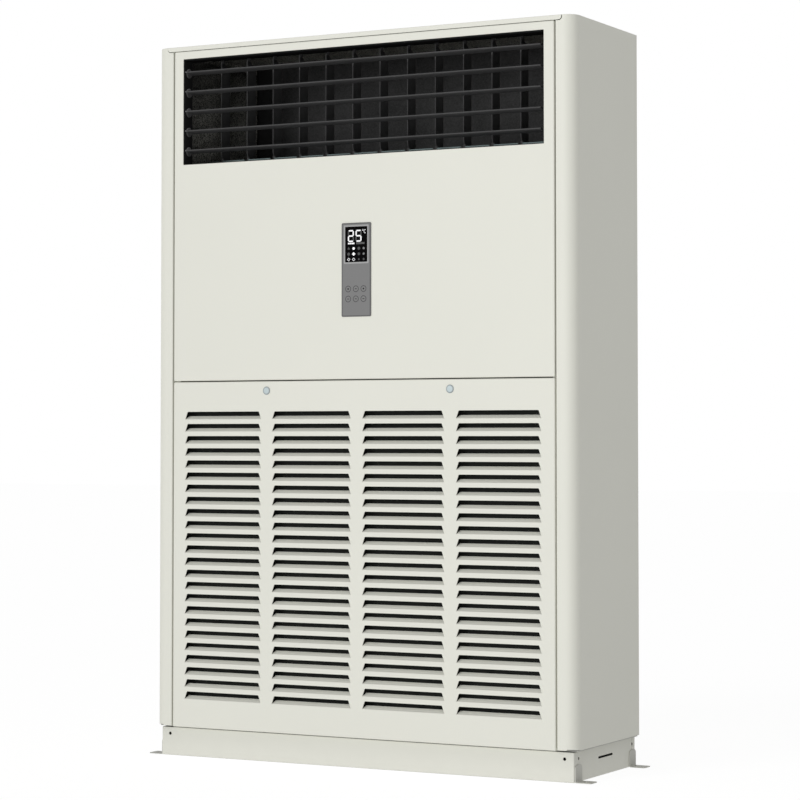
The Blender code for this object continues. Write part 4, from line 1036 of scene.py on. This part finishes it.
# %% [markdown]
# Five horizontal vanes turn on pins in the outlet frame. A vane is a slim leaf: its half thickness is that of
# a rounded slab, a little less towards the tail. At its left end it carries a disc with a raised rim and a
# dished face, and it stops short of the right jamb, where only its pin goes on.
# %% Horizontal vanes
CHORD, BLADE_THICK, TAPER, TILT = 0.036, 0.005, 0.22, np.radians(-7.0)
BLADE_LEFT, BLADE_RIGHT, SOCKET = 0.001 - OUTLET_HALF, OUTLET_HALF - 0.0115, 0.019
DISC_OUT, DISC_THICK, DISC_RIM, DISC_DISH = 0.012, 0.003, 0.0025, 0.0012
PIN, PIN_ROUND = 0.0025, 0.0003


def blade(low, high):
    """The leaf's outline is carried from the disc to its right end, with both ends drawn in a little."""
    left, centre = BLADE_LEFT, np.array([BLADE_AXIS, (low[2] + high[2]) / 2])
    turn = 2 * np.pi * np.arange(48) / 48
    along = -np.cos(turn)
    taper = 1.0 - TAPER * (along + 1) / 2
    thick = BLADE_THICK / 2 * taper * np.sign(np.sin(turn)) * np.sqrt(np.clip(1 - abs(along) ** 8, 0, None))
    outline = CHORD / 2 * along[:, None] * aim(TILT) + thick[:, None] * aim(TILT + np.pi / 2)
    xs = np.array([left + 0.0015, BLADE_RIGHT - 0.0006, BLADE_RIGHT - 0.0002, BLADE_RIGHT])
    scale = np.array([1.0, 1.0, 0.985, 0.955])
    form = Form().capped(face("X")(centre + outline * scale[:, None, None], xs[:, None]))
    front, rim = left + DISC_THICK, DISC_OUT - DISC_RIM
    profile = [(0, left), (DISC_OUT - 0.0004, left), (DISC_OUT, left + 0.0004), (DISC_OUT, front - 0.0004)]
    profile += [(DISC_OUT - 0.0004, front), (rim + 0.0003, front), (rim, front - 0.0003)]
    profile += [(rim - 0.0002, front - DISC_DISH), (PIN + 0.001, front - DISC_DISH)]
    turned(form, face("X"), centre, profile + [(PIN + 0.0006, front - 0.0004), (0, front - 0.0004)], 40)
    for start, end in ((low[0], left + 0.001), (BLADE_RIGHT - SOCKET, high[0])):
        profile = [(0, start), (PIN - PIN_ROUND, start), (PIN, start + PIN_ROUND)]
        profile += [(PIN, end - PIN_ROUND), (PIN - PIN_ROUND, end), (0, end)]
        turned(form, face("X"), centre, profile)
    return form


for number in range(1, 6):
    node = f"horizontal_vane_{number}"
    show(f"blade_{number}", blade(*corners_of(node)), VANE_PLASTIC, node, body=node, slot="vane_plastic")

# %% [markdown]
# Thirteen upright vanes stand behind them, joined by a bar under their tails. Seen from above, a vane has a
# round nose and thins towards its tail. From the side its rear shoulder slopes up to the upper pin and its
# front toe slopes in towards the lower pin, so the nose and the tail follow the height.
# %% Upright vanes
NOSE, TAIL, VANE_THICK, TO_LINK = -0.009, 0.035, 0.003, 0.030
VANE_BOTTOM, VANE_TOP, UPPER_SEAT = SILL + 0.0192, 1.8192, 0.0085
TOE_HEIGHT, TOE_NOSE, SHOULDER_HEIGHT, SHOULDER_TAIL = 0.016, -0.0035, 0.024, 0.0045
COLLAR, PEG, PEG_HEAD = 0.005, 0.002, 0.0032


def upright_vane(low, high, soft=0.0004):
    """Rows are levels. At each level the section is two round ends and the straight sides between them."""
    centre = np.array([(low[0] + high[0]) / 2, UPRIGHT_AXIS])
    height = VANE_TOP - VANE_BOTTOM
    level = [0, soft, TOE_HEIGHT, height - SHOULDER_HEIGHT, height - 0.002, height - soft, height]
    nose = np.array([TOE_NOSE, TOE_NOSE, NOSE, NOSE, NOSE, NOSE, NOSE])
    tail = np.array([TAIL, TAIL, TAIL, TAIL, SHOULDER_TAIL, SHOULDER_TAIL, SHOULDER_TAIL])
    drawn = np.array([soft, 0, 0, 0, 0, 0, soft])
    front, back = [VANE_THICK / 2 * (1 - 0.5 * (at - NOSE) / (TAIL - NOSE)) for at in (nose, tail)]
    half_turn = aim(np.radians(np.linspace(0, 180, 9)))
    ends = []
    for middle, radius in ((tail - back, back - drawn), (nose + front, drawn - front)):
        ends.append(spots(0.0, middle)[:, None] + radius[:, None, None] * half_turn)
    form = Form().capped(face("Z", VANE_BOTTOM)(centre + np.concatenate(ends, 1), np.array(level)[:, None]))
    seat, upper, under = low[2] + SHEET + 2 * TOUCH, high[2] - UPPER_SEAT, -0.0036
    lower_pin = [(0, low[2]), (PIN, low[2]), (PIN, seat), (COLLAR, seat), (COLLAR, VANE_BOTTOM + 0.004)]
    turned(form, face("Z"), centre, lower_pin + [(0, VANE_BOTTOM + 0.006)])
    upper_pin = [(COLLAR, VANE_TOP - 0.004), (COLLAR, upper), (PIN, upper), (PIN, high[2]), (0, high[2])]
    turned(form, face("Z"), centre, [(0, VANE_TOP - 0.006)] + upper_pin)
    peg = [(0, 0.003), (PEG, 0.003), (PEG, under), (PEG_HEAD, under), (PEG_HEAD, under - 0.0011)]
    peg += [(PEG_HEAD - 0.0004, under - 0.0015), (0, under - 0.0015)]
    return turned(form, face("Z", VANE_BOTTOM), centre + (0, TO_LINK), peg)


for number in range(1, 14):
    node = f"upright_vane_{number:02d}"
    vane = upright_vane(*corners_of(node))
    show(f"vane_{number:02d}", vane, VANE_PLASTIC, node, body=node, slot="vane_plastic")

# %% [markdown]
# Foam has no straight faces: it is cut from a block, and its skin bulges and sags by a millimetre. The
# linings' faces are pushed in by sums of soft random hills, drawn from a fixed seed so every run makes the
# same foam.
# %% Foam linings
HILLS = np.random.default_rng(7)


def hills(rows, columns, coarse):
    """Random heights from 0 to 1 on a coarse grid, read between its points on smooth steps both ways: three
    times the square of the distance less twice its cube."""
    rough = HILLS.random((rows // coarse + 2, columns // coarse + 2))
    r, c = np.arange(rows) / coarse, np.arange(columns) / coarse
    r0, c0 = r.astype(int), c.astype(int)
    fr, fc = [f * f * (3 - 2 * f) for f in ((r - r0)[:, None], c - c0)]
    near = rough[r0][:, c0] * (1 - fr) + rough[r0 + 1][:, c0] * fr
    far = rough[r0][:, c0 + 1] * (1 - fr) + rough[r0 + 1][:, c0 + 1] * fr
    return near * (1 - fc) + far * fc


def foam_slab(plane, u0, v0, u1, v1, depth, spacing=0.004, sag=0.0014):
    """One face is a fine grid pushed in by the hills, but not at its border. The sides and back are plain."""
    columns, rows = [int(round(abs(b - a) / spacing)) + 1 for a, b in ((u0, u1), (v0, v1))]
    u, v = np.meshgrid(np.linspace(u0, u1, columns), np.linspace(v0, v1, rows))
    inside = np.ones((rows, columns))
    inside[[0, -1]] = inside[:, [0, -1]] = 0.0
    push = inside * sag * (0.6 * hills(rows, columns, 12) + 0.4 * hills(rows, columns, 3))
    sheet = np.stack([u, v], -1)
    form = Form().grid(plane(sheet, push))
    loop = np.concatenate([sheet[0, :-1], sheet[:-1, -1], sheet[-1, :0:-1], sheet[:0:-1, 0]])
    rings = np.stack([loop, loop, loop * 0 + loop.mean(0)])
    return form.grid(plane(rings, np.array([0.0, depth, depth])[:, None]), round_columns=True)


low, high = corners_of("ceiling_lining")
slab = foam_slab(face("Z", low[2]), low[0], low[1], high[0], high[1], high[2] - low[2], 0.005)
show("ceiling_foam", slab, FOAM, "ceiling_lining", slot="lining_foam", sharp=60)
for side, word in SIDES:
    low, high = corners_of(f"{word}_lining")
    slab = foam_slab(face("X", side * OUTLET_HALF, side), low[1], low[2], high[1], high[2], high[0] - low[0])
    show(f"{word}_foam", slab, FOAM, f"{word}_lining", slot="lining_foam", sharp=60)

# %% [markdown]
# What remains keeps the shape it was packed with. Pieces with edges that catch light are copied with their
# edges slightly rounded, and the flat hidden ones only get their finish.
# %% Carried-over pieces
def softened(node, paint, slot, edge=0.0003, body="cabinet"):
    """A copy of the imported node, its loose corners merged, with rounded edges."""
    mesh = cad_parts[node].data.copy()
    mesh.name = node
    tidy_up(mesh, 1e-5)
    show(node + "_soft", mesh, paint, node, body=body, slot=slot, edge=edge)


softened("outlet_frame", FRAME_PLASTIC, "black_plastic", 0.0006)
softened("lower_vane_rail", GALVANISED, "galvanised_sheet")
softened("upper_vane_rail", FRAME_PLASTIC, "black_plastic")
softened("link_bar", VANE_PLASTIC, "vane_plastic", body="link_bar")
softened("base_rear_skirt", BASE_PAINT, "base_paint")
kept = {
    "base_tray": GALVANISED, "plenum_floor": GALVANISED, "plenum_rear_wall": REAR_PLASTIC,
    "filter_frame": FRAME_PLASTIC, "filter_mesh": FILTER_MESH,
}
for node, paint in kept.items():
    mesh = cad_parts[node].data
    mesh.materials.clear()
    mesh.materials.append(paint)
print("kept as packed:", ", ".join(kept))

# %% [markdown]
# The studio is plain: a pale floor that fades into a white world, an even sky for the shaded side and one
# broad soft light, low on the left of the front. A lamp near the floor on the right shines up into the
# outlet. The camera sees the world as white, and the cabinet is lit by a dimmer one, so that a colour comes
# out about as it is written. The floor shines a little of its own, more towards the camera, so only the
# cabinet's shadow darkens it.
# %% Studio
WHITE = (1.0, 1.0, 1.0, 1.0)


def light(name, strength, source, softness=0.0, width=None):
    """A distant lamp that shines from the source's direction, or a square panel that wide which stands there
    and is aimed at the outlet."""
    made = bpy.data.objects.new(name, bpy.data.lights.new(name, "AREA" if width else "SUN"))
    made.data.energy = strength
    if width:
        made.data.size, made.location = width, Vector(source) + Vector((0, FRONT, SILL))
    else:
        made.data.angle = np.radians(softness)
    made.rotation_mode = "QUATERNION"
    made.rotation_quaternion = Vector(source).to_track_quat("Z", "Y")
    bpy.context.scene.collection.objects.link(made)


light("key", 1.09, (-0.38, -0.92, 0.12), softness=26.0)
light("fill", 48.0, (1.7, -4.6, -1.3), width=1.0)
world = bpy.context.scene.world or bpy.data.worlds.new("studio")
bpy.context.scene.world = world
world.use_nodes = True
world.node_tree.nodes.clear()
start = Wire(world.node_tree)
seen = sum(start.node("LightPath", out=f"Is {ray} Ray") for ray in ("Camera", "Glossy", "Transmission"))
ambient, bright = [start.node("Background", {}, {"Color": WHITE, "Strength": s}) for s in (0.385, 1.0)]
sky = start.node("MixShader", {}, {0: seen.between(0.0, 1.0), 1: ambient, 2: bright})
world.node_tree.links.new(sky.socket, world.node_tree.nodes.new("ShaderNodeOutputWorld").inputs["Surface"])

FLOOR, place = material("floor")
FLOOR.node_tree.nodes.remove(FLOOR.node_tree.nodes["Principled BSDF"])
grey = blend(noise(place, 1.2, 3.0), (0.30, 0.30, 0.30), (0.31, 0.31, 0.31))
matt = place.node("BsdfDiffuse", {}, {"Color": grey})
bounce, glow = [place.node("Emission", {}, {"Color": WHITE, "Strength": s}) for s in (0.50, 0.86)]
own = place.node("MixShader", {}, {0: place.node("LightPath", out="Is Camera Ray"), 1: bounce, 2: glow})
surface = place.node("AddShader", {}, {0: matt, 1: own})
FLOOR.node_tree.links.new(surface.socket, FLOOR.node_tree.nodes["Material Output"].inputs["Surface"])
span = np.linspace(-30.0, 30.0, 5)
u, v = np.meshgrid(span, span)
ground = Form().grid(spots(u, v, -0.0002)).mesh("floor")
ground.materials.append(FLOOR)
floor = bpy.data.objects.new("floor", ground)
bpy.context.scene.collection.objects.link(floor)
print("studio ready")
